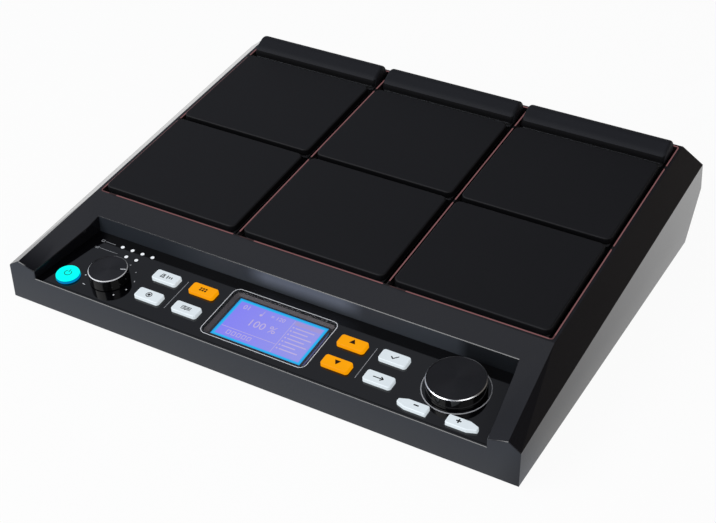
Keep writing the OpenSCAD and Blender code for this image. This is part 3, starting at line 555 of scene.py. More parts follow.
# %% [markdown]
# Working by hand, in code
# A piece is made as it would be by hand: add a primitive, select some faces or edges, and extrude, inset
# or bevel them. Operators act on everything that is selected, so everything is deselected before a piece is
# chosen, and its edges and faces are then selected by their place or normal.

# %% Hand tools
JOIN = 0.002 * MM
FLAT = 0.2


def choose(*pieces):
    """Selects some pieces and makes the first one active."""
    bpy.ops.object.select_all(action="DESELECT")
    for piece in pieces:
        piece.select_set(True)
    bpy.context.view_layer.objects.active = pieces[0]


def settle(piece):
    """Puts a piece's place, turn and scale into its mesh."""
    choose(piece)
    bpy.ops.object.transform_apply(location=True, rotation=True, scale=True)
    return piece


def start(primitive, name, scale=(1, 1, 1), **size_and_place):
    """Adds a primitive, scales it and settles its place in its mesh."""
    primitive(**size_and_place)
    piece = bpy.context.object
    piece.name = name
    piece.scale = scale
    return settle(piece)


def block(name, middle, size, turn=0.0):
    place = {"location": middle, "rotation": (0, 0, turn)}
    return start(bpy.ops.mesh.primitive_cube_add, name, size, size=1, **place)


def disc(name, middle, radius, height, corners, turn=(0, 0, 0)):
    return start(bpy.ops.mesh.primitive_cylinder_add, name, vertices=corners, radius=radius,
                 depth=height, location=middle, rotation=turn)


def select_all():
    bpy.ops.mesh.select_all(action="SELECT")


def edit(piece, what):
    """Opens a piece in edit mode with nothing selected."""
    choose(piece)
    bpy.ops.object.mode_set(mode="EDIT")
    bpy.ops.mesh.select_mode(type=what)
    bpy.ops.mesh.select_all(action="DESELECT")
    return bmesh.from_edit_mesh(piece.data)


def close():
    """Leaves edit mode."""
    bpy.ops.object.mode_set(mode="OBJECT")


def join_up(degrees):
    """Merges the corners that meet and the faces that lie flat, in edit mode."""
    select_all()
    bpy.ops.mesh.remove_doubles(threshold=JOIN)
    bpy.ops.mesh.dissolve_limited(angle_limit=math.radians(degrees))


def pick(piece, net, group, test):
    """Selects the edges or faces that pass a test."""
    found = [element for element in group if test(element)]
    for element in found:
        element.select_set(True)
    net.select_flush_mode()
    bmesh.update_edit_mesh(piece.data)
    return len(found)


def bevel_edges(piece, test, width, segments=3, clamp=True):
    """Rounds the edges that pass a test, or chamfers them where there is one segment."""
    net = edit(piece, "EDGE")
    count = pick(piece, net, net.edges, test)
    if count:
        bpy.ops.mesh.bevel(offset=width, segments=segments, affect="EDGES", clamp_overlap=clamp)
    close()
    return count


def smooth(piece, degrees):
    """Shades round edges softly and keeps large faces flat."""
    choose(piece)
    bpy.ops.object.shade_smooth_by_angle(angle=math.radians(degrees))
    weighted = piece.modifiers.new("weighted", "WEIGHTED_NORMAL")
    weighted.weight = 100
    weighted.keep_sharp = True
    bpy.ops.object.modifier_apply(modifier="weighted")
    return piece


def lay(piece, plane):
    """Moves a piece from the flat sheet to a slanted plane, and settles it there."""
    piece.matrix_world = plane
    return settle(piece)


def together(pieces, name):
    """Joins pieces into one."""
    choose(*pieces)
    if len(pieces) > 1:
        bpy.ops.object.join()
    pieces[0].name = name
    return pieces[0]


def merged_copy(node, name):
    """A copy of a CAD node with its loose triangles joined up."""
    piece = frame["nodes"][node].copy()
    piece.data = piece.data.copy()
    piece.parent = None
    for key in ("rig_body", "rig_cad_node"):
        if key in piece:
            del piece[key]
    bpy.context.scene.collection.objects.link(piece)
    piece.name = name
    edit(piece, "VERT")
    join_up(FLAT)
    close()
    bpy.ops.mesh.customdata_custom_splitnormals_clear()
    return piece


def stand_in(piece, node, *materials):
    """Lets a finished piece stand for a CAD node and ride on its body."""
    if materials:
        coat(piece, *materials)
    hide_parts(node)
    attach(piece, body_of[node])
    return piece


def smooth_copy(node, name, degrees, *materials):
    """A smooth copy of a CAD node that stands for it."""
    return stand_in(smooth(merged_copy(node, name), degrees), node, *materials)


def paint(piece, plane, number, test):
    """Gives a finish, by its number, to the faces that pass a test on a slanted plane."""
    flat = plane.inverted()
    turned = flat.to_3x3()
    count = 0
    for face in piece.data.polygons:
        if test(flat @ face.center, turned @ face.normal):
            face.material_index = number
            count += 1
    return count


def over(point, low, high, margin=0.0):
    """Whether a point lies over or under a rectangle on its own plane."""
    return all(low[i] - margin < point[i] < high[i] + margin for i in (0, 1))


# %% [markdown]
# The moulded shell
# A moulded edge is never sharp. On a copy of the CAD node the outer edges are broken: the long creases are
# rounded, the edges along the front and round the recess get a narrow chamfer that catches the light, and
# the rim of the pads' well is only eased, because the strip beside it is narrow. An edge is an outer one
# when a ray along its normal, and another straight up or straight back, meet nothing. In the CAD node the
# middle of the front lip lies a little lower than the panel. Here it is raised to the panel's level first
# and polished like it, so that the two read as one surface.

# %% Shell
CREASE_R = 0.7 * MM
RIM_CHAMFER = 0.36 * MM
RIM_R = 0.3 * MM
LEAST_CREASE = math.radians(6)
LEAST_LENGTH = 5 * MM
LIP_W = 1.6 * MM
LIP_DIP = (-3.8 * MM, -0.4 * MM)
NEAR = 0.1 * MM
WELL_MARGIN = 0.6 * MM
RECESS_HALF = 169 * MM
FRONT_HALF = 189 * MM
well_low, well_high = extent("light_guide", DECK)
panel_high = extent("control_panel", PANEL)[1]


def middle_of(edge):
    return (edge.verts[0].co + edge.verts[1].co) / 2


def outer_edges(piece, keep):
    """A test for the raised edges that can be seen from outside."""
    net = bmesh.new()
    net.from_mesh(piece.data)
    tree = BVHTree.FromBMesh(net)
    net.free()

    def free(point, direction):
        return tree.ray_cast(point, direction)[0] is None

    def test(edge):
        if len(edge.link_faces) != 2 or edge.calc_length() < LEAST_LENGTH:
            return False
        if edge.calc_face_angle_signed(0.0) < LEAST_CREASE or not keep(edge):
            return False
        normal = (edge.link_faces[0].normal + edge.link_faces[1].normal).normalized()
        point = middle_of(edge) + normal * NEAR
        outside = free(point, Vector((0, 0, 1))) or free(point, Vector((0, 1, 0)))
        return normal.z > -0.3 and outside and free(point, normal)

    return test


def raise_lip(piece):
    """Lifts the low middle of the front lip, straight up, to the panel's level."""
    net = edit(piece, "VERT")
    count = 0
    for corner in net.verts:
        flat = ONTO_PANEL @ corner.co
        in_lip = corner.co.y < FRONT_Y + LIP_W + NEAR and abs(flat.x) < panel_high.x
        if in_lip and LIP_DIP[0] < flat.z < LIP_DIP[1]:
            corner.co.z -= flat.z / math.cos(LEAN)
            count += 1
    net.normal_update()
    bmesh.update_edit_mesh(piece.data)
    select_all()
    bpy.ops.mesh.dissolve_limited(angle_limit=math.radians(FLAT))
    close()
    return count


def beside_well(edge):
    flat = DECK.inverted() @ middle_of(edge)
    return over(flat, well_low, well_high, WELL_MARGIN) and flat.z > -1 * MM


def beside_panel(edge):
    """The ledge that the panel lies on, and the narrow strip round it."""
    flat = ONTO_PANEL @ middle_of(edge)
    return abs(flat.x) < RECESS_HALF and LIP_W / 2 < flat.y < panel_high.y + MM and flat.z < 0.3 * MM


def on_rim(edge):
    """An edge along the top of the front face or of the recess's walls."""
    flat = ONTO_PANEL @ middle_of(edge)
    in_front = all(abs(corner.co.y - FRONT_Y) < NEAR for corner in edge.verts)
    if in_front and abs(flat.x) < FRONT_HALF and flat.z > -NEAR:
        return True
    over_panel = abs(flat.x) < RECESS_HALF and LIP_W < flat.y < panel_high.y + 3 * MM and flat.z > 3 * MM
    return over_panel and any(abs(face.normal.z) < 0.4 for face in edge.link_faces)


def on_crease(edge):
    return not (beside_well(edge) or beside_panel(edge) or on_rim(edge))


shell = merged_copy("top_shell", "housing_shell")
raised = raise_lip(shell)
fronts = bevel_edges(shell, outer_edges(shell, on_rim), RIM_CHAMFER, 1, False)
creases = bevel_edges(shell, outer_edges(shell, on_crease), CREASE_R)
rims = bevel_edges(shell, outer_edges(shell, beside_well), RIM_R, 2)
stand_in(smooth(shell, 30), "top_shell", SHELL, PANEL_GLOSS, RECESS, RUBBER_PAINTED_SHADE)


def recess_wall(middle, normal):
    behind = abs(middle.y - panel_high.y) < 2 * MM and middle.z > MM
    return behind and abs(middle.x) < panel_high.x and normal.y < -0.95


def shaded_well_floor(middle, normal):
    return over(middle, well_low, well_high) and normal.z > 0.9 and middle.z < -0.3 * MM


# The floor of the pads' well, seen in the gaps, gets the near-black rubber finish: painted shade.
paint(shell, DECK, 3, shaded_well_floor)
glossy = paint(shell, PANEL, 1, lambda middle, normal: normal.z > 0.99 and abs(middle.z) < NEAR)
# The recess's back wall takes the finish with painted light and shade on it.
walls = paint(shell, PANEL, 2, recess_wall)
print("shell: raised", raised, "creases", creases, "fronts", fronts, "rims", rims)
print("shell: glossy faces", glossy, "recess walls", walls)

# %% [markdown]
# Pads and bars
# Each pad is a slab of rubber with round corners. It is made from a block: the four upright edges are
# bevelled first, then the edge round the top. A bar is a roll of rubber that climbs from its round front
# to a crest: two cylinders are wrapped in a convex hull, cut flat underneath and rounded at the ends. The
# pads' sides and the foot of a bar's front get a near-black rubber finish, a painted shade for the dark of
# the gaps.

# %% Pads
PAD_CORNER_R = 4.8 * MM
PAD_EDGE_R = 1.5 * MM


def upright(edge):
    along = (edge.verts[1].co - edge.verts[0].co).normalized()
    return abs(along.z) > 0.9


def top_edge_test(top):
    def test(edge):
        level = all(abs(corner.co.z - top) < 0.01 * MM for corner in edge.verts)
        return level and any(face.normal.z < 0.5 for face in edge.link_faces)

    return test


def rubber_skin(piece, node, material, in_painted_shade):
    """Lays a pad or a bar on the deck, with painted shade: the faces in the gaps get a darker finish."""
    stand_in(lay(smooth(piece, 40), DECK), node, material, RUBBER_PAINTED_SHADE)
    paint(piece, DECK, 1, in_painted_shade)
    return piece


def rubber_pad(node):
    low, high = extent(node, DECK)
    pad = block(node + "_skin", (low + high) / 2, high - low)
    bevel_edges(pad, upright, PAD_CORNER_R, 6)
    bevel_edges(pad, top_edge_test(high.z), PAD_EDGE_R, 5)
    return rubber_skin(pad, node, RUBBER, lambda middle, normal: normal.z < 0.5)


COLUMNS = ("left", "middle", "right")
pads = [rubber_pad(f"pad_{row}_{column}") for row in ("front", "back") for column in COLUMNS]
print("pads:", len(pads))

# %% Raised bars
BAR_SET_BACK = 2.4 * MM
BAR_FRONT_R = 7.8 * MM
BAR_R = 7.2 * MM
BAR_END_R = 2.4 * MM
ALONG_X = (0, math.radians(90), 0)


def raised_bar(node):
    low, high = extent(node, DECK)
    middle = (low.x + high.x) / 2
    length = high.x - low.x
    front_place = (middle, low.y + BAR_SET_BACK + BAR_FRONT_R, low.z)
    front = disc("front_roll", front_place, BAR_FRONT_R, length, 72, ALONG_X)
    back = disc("back_roll", (middle, high.y - BAR_R, high.z - BAR_R), BAR_R, length, 72, ALONG_X)
    bar = together([back, front], node + "_skin")
    edit(bar, "VERT")
    select_all()
    bpy.ops.mesh.convex_hull()
    select_all()
    bpy.ops.mesh.bisect(plane_co=(0, 0, low.z), plane_no=(0, 0, 1), use_fill=True, clear_inner=True)
    join_up(1)
    close()

    def end_edge(edge):
        facing = sorted(abs(face.normal.x) for face in edge.link_faces)
        above = max(corner.co.z for corner in edge.verts) > low.z + 0.01 * MM
        return above and facing[0] < 0.5 and facing[-1] > 0.9

    bevel_edges(bar, end_edge, BAR_END_R, 5)
    return rubber_skin(bar, node, BAR_RUBBER, lambda middle, normal: normal.z < 0.55 and normal.y < -0.5)


bars = [raised_bar(f"bar_{column}") for column in COLUMNS]
print("bars:", len(bars), "faces in one:", len(bars[0].data.polygons))

# %% [markdown]
# Panel and light guide
# Both keep the CAD shape. Their triangles are joined up so that round walls shade smoothly. In the panel,
# the slopes that lead down to the display and face the front or the right are painted grey, a painted light
# where the lamps fall on them, and the rest is polished black.

# %% Panel and light guide
panel = smooth_copy("control_panel", "panel_face", 30, PANEL_GLOSS, BEZEL_PAINTED_LIGHT)
window_low, window_high = extent("display_window", PANEL)


# Only the slopes turned toward the lamps are painted grey, as painted light.
def bezel_slope(middle, normal):
    turned_to_light = normal.y < -0.1 or normal.x > 0.1
    in_window = over(middle, window_low, window_high) and middle.z < -1 * MM
    return in_window and turned_to_light and normal.z > 0.05


slopes = paint(panel, PANEL, 1, bezel_slope)
smooth_copy("light_guide", "red_line", 30, GUIDE)
print("panel: bezel faces", slopes)

# %% [markdown]
# Buttons
# The caps are copies of the CAD nodes, with their stems and collars, because their shape is right as it is.
# Their triangles only need joining up for smooth shading. The sides get a finish of their own, with painted
# light and shade: the white sides glow more than the tops, the amber sides a little dimmer, and the power
# button is a darker blue at its foot.

# %% Buttons
WHITE_KEYS = ("metronome", "record", "setup", "confirm", "select", "minus", "plus")
AMBER_KEYS = ("kit", "up", "down")
POWER_RIM_TOP = 1.3 * MM


def key(name, top, side, side_height=math.inf):
    """A button's cap, with its sides in a finish of their own up to a height."""
    cap = smooth_copy(name + "_button", name + "_cap", 40, top, side)
    paint(cap, PANEL, 1, lambda middle, normal: normal.z < 0.9 and middle.z < side_height)


for name in WHITE_KEYS:
    key(name, WHITE_KEY, WHITE_SIDE_PAINTED_GLOW)
for name in AMBER_KEYS:
    key(name, AMBER_KEY, AMBER_SIDE_PAINTED_SHADE)
key("power", CYAN_KEY, CYAN_RIM, POWER_RIM_TOP)
print("buttons:", len(WHITE_KEYS) + len(AMBER_KEYS) + 1)

# %% [markdown]
# Small hardware
# Feet, screws, nuts and sockets show on the underside and on the back. They are copies of the CAD nodes
# with their sharp edges broken, as turned or moulded parts have them. The screws get a cross recess, cut
# with a Boolean modifier by two crossed blocks.

# %% Softened copies
SHARP = math.radians(40)


def sharp_edge(edge):
    return len(edge.link_faces) == 2 and edge.calc_face_angle_signed(0.0) > SHARP


def softened(node, name, width, *materials, segments=2):
    piece = merged_copy(node, name)
    count = bevel_edges(piece, sharp_edge, width, segments)
    stand_in(smooth(piece, 30), node, *materials)
    print(name, "edges softened:", count)
    return piece


softened("bottom_cover", "base_cover", 0.3 * MM, COVER)
softened("rubber_feet", "feet", 0.5 * MM, FOOT, segments=3)
softened("stand_inserts", "threaded_inserts", 0.25 * MM, BRASS)
softened("jack_nuts", "hex_nuts", 0.25 * MM, CHROME)
softened("dial_ring", "dial_ring_band", 0.1 * MM, RING)
softened("usb_socket", "square_socket", 0.15 * MM, CHROME)
JACKS = ("output_jack_left", "output_jack_right", "phones_jack", "trigger_jack", "footswitch_jack")
for node in JACKS:
    softened(node, node + "_neck", 0.25 * MM, SOCKET)

# %% Supply inlet
inlet_low, inlet_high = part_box("power_inlet")
PIN_R = 1.3 * MM
PIN_BEGIN = 9 * MM
inlet = softened("power_inlet", "supply_inlet", 0.1 * MM, SOCKET, CHROME)
inlet_x = (inlet_low.x + inlet_high.x) / 2
pin_low, pin_high = box_of([v.co for v in inlet.data.vertices if abs(v.co.x - inlet_x) < PIN_R])
inlet_z = (pin_low.z + pin_high.z) / 2


def pin_face(middle, normal):
    beside = abs(middle.x - inlet_x) < PIN_R and abs(middle.z - inlet_z) < 4 * PIN_R
    return beside and abs(normal.y) < 0.5 and middle.y > inlet_low.y + PIN_BEGIN


print("inlet pin faces:", paint(inlet, Matrix.Identity(4), 1, pin_face))

# %% Cover screws
SCREW_HEAD_R = 2.8 * MM
CROSS_SIZE = (1.3 * SCREW_HEAD_R, 0.8 * MM, 1.8 * MM)
screws = merged_copy("cover_screws", "cross_screws")
bevel_edges(screws, sharp_edge, 0.25 * MM, 2)
heads = []
for vertex in screws.data.vertices:
    if all((head - vertex.co.xy).length > 3 * SCREW_HEAD_R for head in heads):
        heads.append(vertex.co.xy)
crosses = []
for head in heads:
    around = [v.co for v in screws.data.vertices if (head - v.co.xy).length < 3 * SCREW_HEAD_R]
    low, high = box_of(around)
    centre = ((low.x + high.x) / 2, (low.y + high.y) / 2, low.z)
    crosses += [block("cross", centre, CROSS_SIZE, math.radians(turn)) for turn in (45, 135)]
cutter = together(crosses, "cross_cutter")
choose(screws)
cross_cut = screws.modifiers.new("cross", "BOOLEAN")
cross_cut.use_self = True
cross_cut.object = cutter
bpy.ops.object.modifier_apply(modifier="cross")
bpy.data.objects.remove(cutter)
stand_in(smooth(screws, 30), "cover_screws", DARK_STEEL)
print("cover screws:", len(heads))

# %% [markdown]
# Indicators
# The six indicators are small domes of clear plastic with a dark rim. The rim is the bevel round the top.

# %% Indicators
LENS_RIM_W = 0.45 * MM
lens_top = extent("indicator_lenses", PANEL)[1].z
lenses = merged_copy("indicator_lenses", "indicator_domes")


def lens_top_edge(edge):
    return all(abs((ONTO_PANEL @ corner.co).z - lens_top) < 0.02 * MM for corner in edge.verts)


bevel_edges(lenses, lens_top_edge, LENS_RIM_W, 2)
stand_in(smooth(lenses, 50), "indicator_lenses", LENS_RIM, LENS)
lit = paint(lenses, PANEL, 1, lambda middle, normal: normal.z > 0.98 and middle.z > 0)
print("indicators lit:", lit)

# %% [markdown]
# Printed marks
# The panel and the buttons are printed with simple signs. Ink is a film, so each mark is a thin plate, a
# few hundredths of a millimetre high. Dots, bars, triangles and arcs are enough. They are drawn in
# millimetres about the origin, and scaled when they are laid in their place.

# %% Marks
INK = 0.04
MERGE = 0.001


def dot(x, y, radius, corners=24):
    return disc("dot", (x, y, INK / 2), radius, INK, corners)


def dash(x, y, length, width, turn=0.0):
    """A bar of ink with softened corners."""
    piece = block("dash", (x, y, INK / 2), (length, width, INK), turn)
    bevel_edges(piece, upright, min(length, width) * 0.2, 2)
    return piece


def stroke(points, width):
    """A line of ink through some points, with round joints."""
    pieces = [dot(x, y, width / 2, 12) for x, y in points]
    for (x0, y0), (x1, y1) in zip(points, points[1:]):
        middle = ((x0 + x1) / 2, (y0 + y1) / 2, INK / 2)
        length = math.hypot(x1 - x0, y1 - y0)
        pieces.append(block("stroke", middle, (length, width, INK), math.atan2(y1 - y0, x1 - x0)))
    return pieces


def triangle(x, y, width, height, turn=0.0):
    """An upright triangle about its middle, turned by an angle."""
    scale = (width / math.sqrt(3), height / 1.5, INK)
    piece = start(bpy.ops.mesh.primitive_cylinder_add, "triangle", scale, vertices=3, radius=1, depth=1,
                  location=(x, y, INK / 2), rotation=(0, 0, turn))
    bevel_edges(piece, upright, min(width, height) * 0.06, 2)
    return piece


def arc(x, y, radius, width, start_angle, sweep):
    """A bent bar of ink: an upright sheet, spun about a centre."""
    piece = start(bpy.ops.mesh.primitive_plane_add, "arc", (width, INK, 1), size=1,
                  location=(radius, 0, INK / 2), rotation=(math.radians(90), 0, 0))
    edit(piece, "FACE")
    select_all()
    bpy.ops.mesh.spin(steps=24, angle=-math.radians(sweep), center=(0, 0, 0), axis=(0, 0, 1))
    select_all()
    bpy.ops.mesh.remove_doubles(threshold=MERGE)
    bpy.ops.mesh.normals_make_consistent()
    close()
    piece.location = (x, y, 0)
    piece.rotation_euler = (0, 0, math.radians(start_angle))
    return settle(piece)


def outline(x, y, width, depth, corner_r, line):
    """A rounded rectangle drawn with a line."""
    scale = (width, depth, 1)
    piece = start(bpy.ops.mesh.primitive_plane_add, "outline", scale, size=1, location=(x, y, 0))
    edit(piece, "VERT")
    select_all()
    bpy.ops.mesh.bevel(offset=corner_r, segments=8, affect="VERTICES")
    select_all()
    bpy.ops.mesh.select_mode(type="FACE")
    bpy.ops.mesh.inset(thickness=line)
    bpy.ops.mesh.delete(type="FACE")
    select_all()
    bpy.ops.mesh.extrude_region_move(TRANSFORM_OT_translate={"value": (0, 0, INK)})
    select_all()
    bpy.ops.mesh.normals_make_consistent()
    close()
    return piece


def numerals(text, x, y, size):
    """Numbers and signs, turned from text into a thin mesh."""
    bpy.ops.object.text_add()
    choose(bpy.context.object)
    letters = bpy.context.object.data
    letters.body = text
    letters.size = size
    letters.align_x = "CENTER"
    letters.align_y = "CENTER"
    letters.resolution_u = 3
    letters.extrude = INK / 2
    bpy.ops.object.convert(target="MESH")
    piece = bpy.context.object
    piece.name = "numerals"
    piece.location = (x, y, INK / 2)
    settle(piece)
    edit(piece, "VERT")
    select_all()
    bpy.ops.mesh.remove_doubles(threshold=MERGE)
    close()
    return piece


def printed(pieces, name, material, place=(0, 0, 0), body="housing"):
    """Joins marks, lays them at a place on the panel and lets them ride on a body."""
    mark = lay(together(pieces, name), PANEL @ Matrix.Translation(place) @ Matrix.Scale(MM, 4))
    coat(mark, material)
    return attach(mark, body)


def round_to(radius, degrees):
    """The point at an angle on a circle about the origin."""
    return radius * math.cos(math.radians(degrees)), radius * math.sin(math.radians(degrees))


# %% Marks on the panel
TICK_R = 17.7
TICK_START = 225
TICK_STEP = 30
volume_place = ONTO_PANEL @ Vector(joints["volume_turn"]["pos_m"])
ticks = [dash(*round_to(TICK_R, TICK_START), 2.2, 0.5, math.radians(-8))]
ticks += [dot(*round_to(TICK_R, TICK_START - TICK_STEP * i), 0.55) for i in range(1, 10)]
printed(ticks, "volume_ticks", WHITE_PRINT, (volume_place.x, volume_place.y, 0))

DIVIDER_X = 72
dividers = [dash(side * DIVIDER_X, 29.1, 0.4, 28.6) for side in (-1, 1)]
printed(dividers, "panel_dividers", GREY_PRINT)

window_y = (window_low.y + window_high.y) / 2
printed([outline(0, 0, 79.6, 46.2, 5, 0.5)], "display_outline", WHITE_PRINT, (0, window_y, 0))
print("volume ring:", len(ticks), "marks, dividers:", len(dividers))

# %% [markdown]
# Two small signs stand to the left of the indicators: a pad and a pedal, each with a line that leads to
# its row. They tell the rows apart without a word.

# %% Indicator signs
SIGN_PLACE = (-151 * MM, 45.8 * MM, 0)
ROW_STEP = 7.2
PEDAL = [(-1.4, -0.8), (1.4, -0.8), (1.4, 0.9), (-1.4, -0.8)]
signs = [outline(0, ROW_STEP, 2.6, 2.0, 0.3, 0.4), dash(6.4, ROW_STEP, 8.4, 0.35)]
signs += stroke(PEDAL, 0.4)
signs.append(dash(9.8, 0, 15.0, 0.35))
printed(signs, "indicator_signs", GREY_PRINT, SIGN_PLACE)
print("indicator signs:", len(signs), "strokes")

# %% [markdown]
# Signs on the buttons
# Each button carries a sign for what it does: beats, a record dot, the pads, sliders, arrows, a tick mark,
# minus and plus, and the power sign. A sign lies on its cap and rides with it.

# %% Button signs
FINE_LINE = 0.6
BOLD_LINE = 0.75
TICK_LINE = 0.8


def on_cap(name, pieces, ink=BLACK_PRINT):
    """Prints a sign that is drawn about the middle of a button's cap."""
    low, high = extent(name + "_button", PANEL)
    place = ((low.x + high.x) / 2, (low.y + high.y) / 2, high.z)
    printed(pieces, name + "_sign", ink, place, name)


beats = stroke([(-4.2, -1.5), (-3.4, 1.5), (-2.2, 1.5), (-1.4, -1.5), (-4.2, -1.5)], FINE_LINE)
beats += stroke([(-2.8, -0.7), (-1.3, 1.5)], FINE_LINE)
beats += [dash(0.9 + 1.7 * i, 0, 0.8, height) for i, height in enumerate((3.0, 1.9, 1.9))]
on_cap("metronome", beats)
on_cap("record", [dot(0, 0, 1.1), arc(0, 0, 2.0, FINE_LINE, 0, 360)])
on_cap("kit", [dash(2.0 * i, 0.9 * j, 1.5, 1.3) for i in (-1, 0, 1) for j in (-1, 1)], BROWN_PRINT)
sliders = []
for level, stop in ((1.2, -1.5), (0, 1.7), (-1.2, -0.2)):
    sliders += [dash(0, level, 7.6, 0.5), dash(stop, level, 1.0, 1.1)]
on_cap("setup", sliders)
on_cap("up", [triangle(0, 0.5, 4.4, 3.8)], BROWN_PRINT)
on_cap("down", [triangle(0, 0.9, 4.4, 3.8, math.radians(180))], BROWN_PRINT)
on_cap("confirm", stroke([(-2.1, 0.1), (-0.6, -1.3), (2.2, 1.5)], TICK_LINE))
arrow = stroke([(-3.8, 0), (3.0, 0)], BOLD_LINE)
on_cap("select", arrow + stroke([(1.3, 1.4), (3.0, 0), (1.3, -1.4)], BOLD_LINE))
on_cap("minus", [dash(2.3, 0.5, 3.4, 1.0)])
on_cap("plus", [dash(-2.6, 0.5, 3.4, 1.0), dash(-2.6, 0.5, 1.0, 3.4)])
on_cap("power", [arc(0, 0.4, 2.4, FINE_LINE, 55, -290), dash(0, 2.5, FINE_LINE, 2.8)], TEAL_PRINT)
print("button signs printed")

# %% [markdown]
# Knobs
# A knob is turned: a cylinder whose top edge is cut with a chamfer and whose top face is sunk a little and
# spun. The cut is bright on the dial and satin on the volume knob. The volume knob has a pointer, and the
# dial has none because it turns without end. Fine circles on the top spread a reflection to both sides of
# the axis, which shows as a bow tie of light.

# %% Knob finishes
def spun_black(name, x, y):
    """Black anodised metal with fine circles round the knob's axis."""
    sheet = finish(name)
    about_axis = sheet.flat(PANEL @ Matrix.Translation((x, y, 0)))
    sockets = {"Vector": about_axis, "Scale": 0.9, "Distortion": 0.4, "Detail": 1.0}
    rings = sheet.add("TexWave", sockets, "Fac", wave_type="RINGS", rings_direction="Z")
    return sheet.principled({
        "Base Color": linear(47, 47, 50),
        "Metallic": 0.7,
        "Roughness": 0.26 + rings * 0.08,
        "Normal": sheet.bump(rings, 0.8, 0.05 * MM),
    })


KNOB_SIDE = polished_plastic("knob_side", (10, 10, 11), 0.1)
EDGE = 0.5 * MM
DISH = 0.25 * MM
TAPER = 0.3 * MM
INNER_RIM = 0.3 * MM


def turned_knob(node, joint, cut):
    """A knob with a spun top and an edge that is cut bright or satin, made from a cylinder."""
    low, high = extent(node, PANEL)
    middle = ONTO_PANEL @ Vector(joints[joint]["pos_m"])
    radius = (high.x - low.x) / 2
    knob = disc(node + "_turned", (middle.x, middle.y, (low.z + high.z) / 2), radius, high.z - low.z, 128)

    def open_top():
        net = edit(knob, "FACE")
        pick(knob, net, net.faces, lambda face: face.normal.z > 0.9)

    open_top()
    narrower = 1 - TAPER / radius
    bpy.ops.transform.resize(value=(narrower, narrower, 1))
    close()
    bevel_edges(knob, top_edge_test(high.z), EDGE, 1)
    open_top()
    bpy.ops.mesh.inset(thickness=DISH)
    bpy.ops.transform.translate(value=(0, 0, -DISH))
    bpy.ops.mesh.inset(thickness=INNER_RIM)
    close()
    coat(knob, KNOB_SIDE, cut, spun_black(node + "_spun", middle.x, middle.y))
    for face in knob.data.polygons:
        outward = face.normal.xy.dot((face.center - middle).xy)
        if face.normal.z > 0.95 or (face.normal.z > 0.3 and outward < 0):
            face.material_index = 2
        elif face.normal.z > 0.3:
            face.material_index = 1
    stand_in(lay(smooth(knob, 25), PANEL), node)
    return Vector((middle.x, middle.y, high.z - DISH))


POINTER_ANGLE = 22
POINTER_R = 10.5
volume_top = turned_knob("volume_knob", "volume_turn", SATIN_CUT)
turned_knob("dial_knob", "dial_turn", BRIGHT_CUT)
pointer = dash(*round_to(POINTER_R, POINTER_ANGLE), 3.8, 0.7, math.radians(POINTER_ANGLE))
printed([pointer], "volume_pointer", WHITE_PRINT, volume_top, "volume")
print("knobs turned")

# %% [markdown]
# The display
# Behind a clear window lies a lit panel with a violet field and a blue edge where the lamps sit. The window
# is thin, so it only adds a reflection on its outer face: a mix of a clear and a glossy shader by Fresnel.
# The picture is drawn with the same marks as the panel: a program number, a note with a tempo, a row of
# boxes and a list.

# %% Display glass
SCREEN_W = 67.6
SCREEN_D = 36.8
EDGE_LIGHT = 5.0
EDGE_BLEND = (2.0, 2.7)
screen_low, screen_high = extent("display_glass", PANEL)
screen_y = (screen_low.y + screen_high.y) / 2


def clear_window(name):
    sheet = finish(name)
    fresnel = sheet.add("Fresnel", {"IOR": 1.4})
    backfacing = sheet.add("NewGeometry", output="Backfacing")
    gloss = sheet.add("BsdfGlossy", {"Color": (1, 1, 1, 1), "Roughness": 0.03})
    clear = sheet.add("BsdfTransparent", {"Color": (0.97, 0.97, 0.98, 1)})
    mirror = fresnel * (1 - backfacing)
    return sheet.surface(sheet.add("MixShader", {0: mirror, 1: clear, 2: gloss}))


def lit_screen(name):
    """Violet in the middle, blue along the edge."""
    sheet = finish(name)
    across, along, _ = sheet.split(sheet.flat(PANEL))
    from_side = SCREEN_W / 2 - across.size()
    from_end = SCREEN_D / 2 - (along - screen_y / MM).size()
    edge_distance = from_side.at_most(from_end)
    edge = sheet.ramp(edge_distance / EDGE_LIGHT, [
        (0.0, linear(0, 150, 225)),
        (0.2, linear(0, 184, 246)),
        (0.36, linear(24, 190, 246)),
        (0.5, linear(112, 128, 250)),
    ])
    field = sheet.mix(across.rise(-30, 30), linear(138, 135, 252), linear(154, 156, 240))
    pixel = sheet.noise(1.2, 0.0)
    return sheet.principled({
        "Base Color": (0.01, 0.01, 0.02, 1),
        "Roughness": 0.4 + pixel * 0.1,
        "Specular IOR Level": 0.2,
        "Emission Color": sheet.mix(edge_distance.rise(*EDGE_BLEND), edge, field),
        "Emission Strength": 0.96,
    })


smooth_copy("display_window", "clear_window", 30, clear_window("window_clear"))
smooth_copy("display_glass", "lit_screen", 30, lit_screen("screen_lit"))
print("screen: middle", round(screen_y / MM, 1), "mm up the panel")

# %% Display picture
LIST_X = 20.5
LIST_W = 19.5
LIST_LEFT = LIST_X - LIST_W / 2 + 1.6
LIST_TOP = 14.0
LIST_STEP = 3.4
LIST_LENGTHS = (14.0, 11.0, 15.5, 12.5, 16.0, 10.0, 13.5)
RULE = 0.35


def on_screen(pieces, name, material):
    printed(pieces, name, material, (0, screen_y, screen_high.z), "housing")


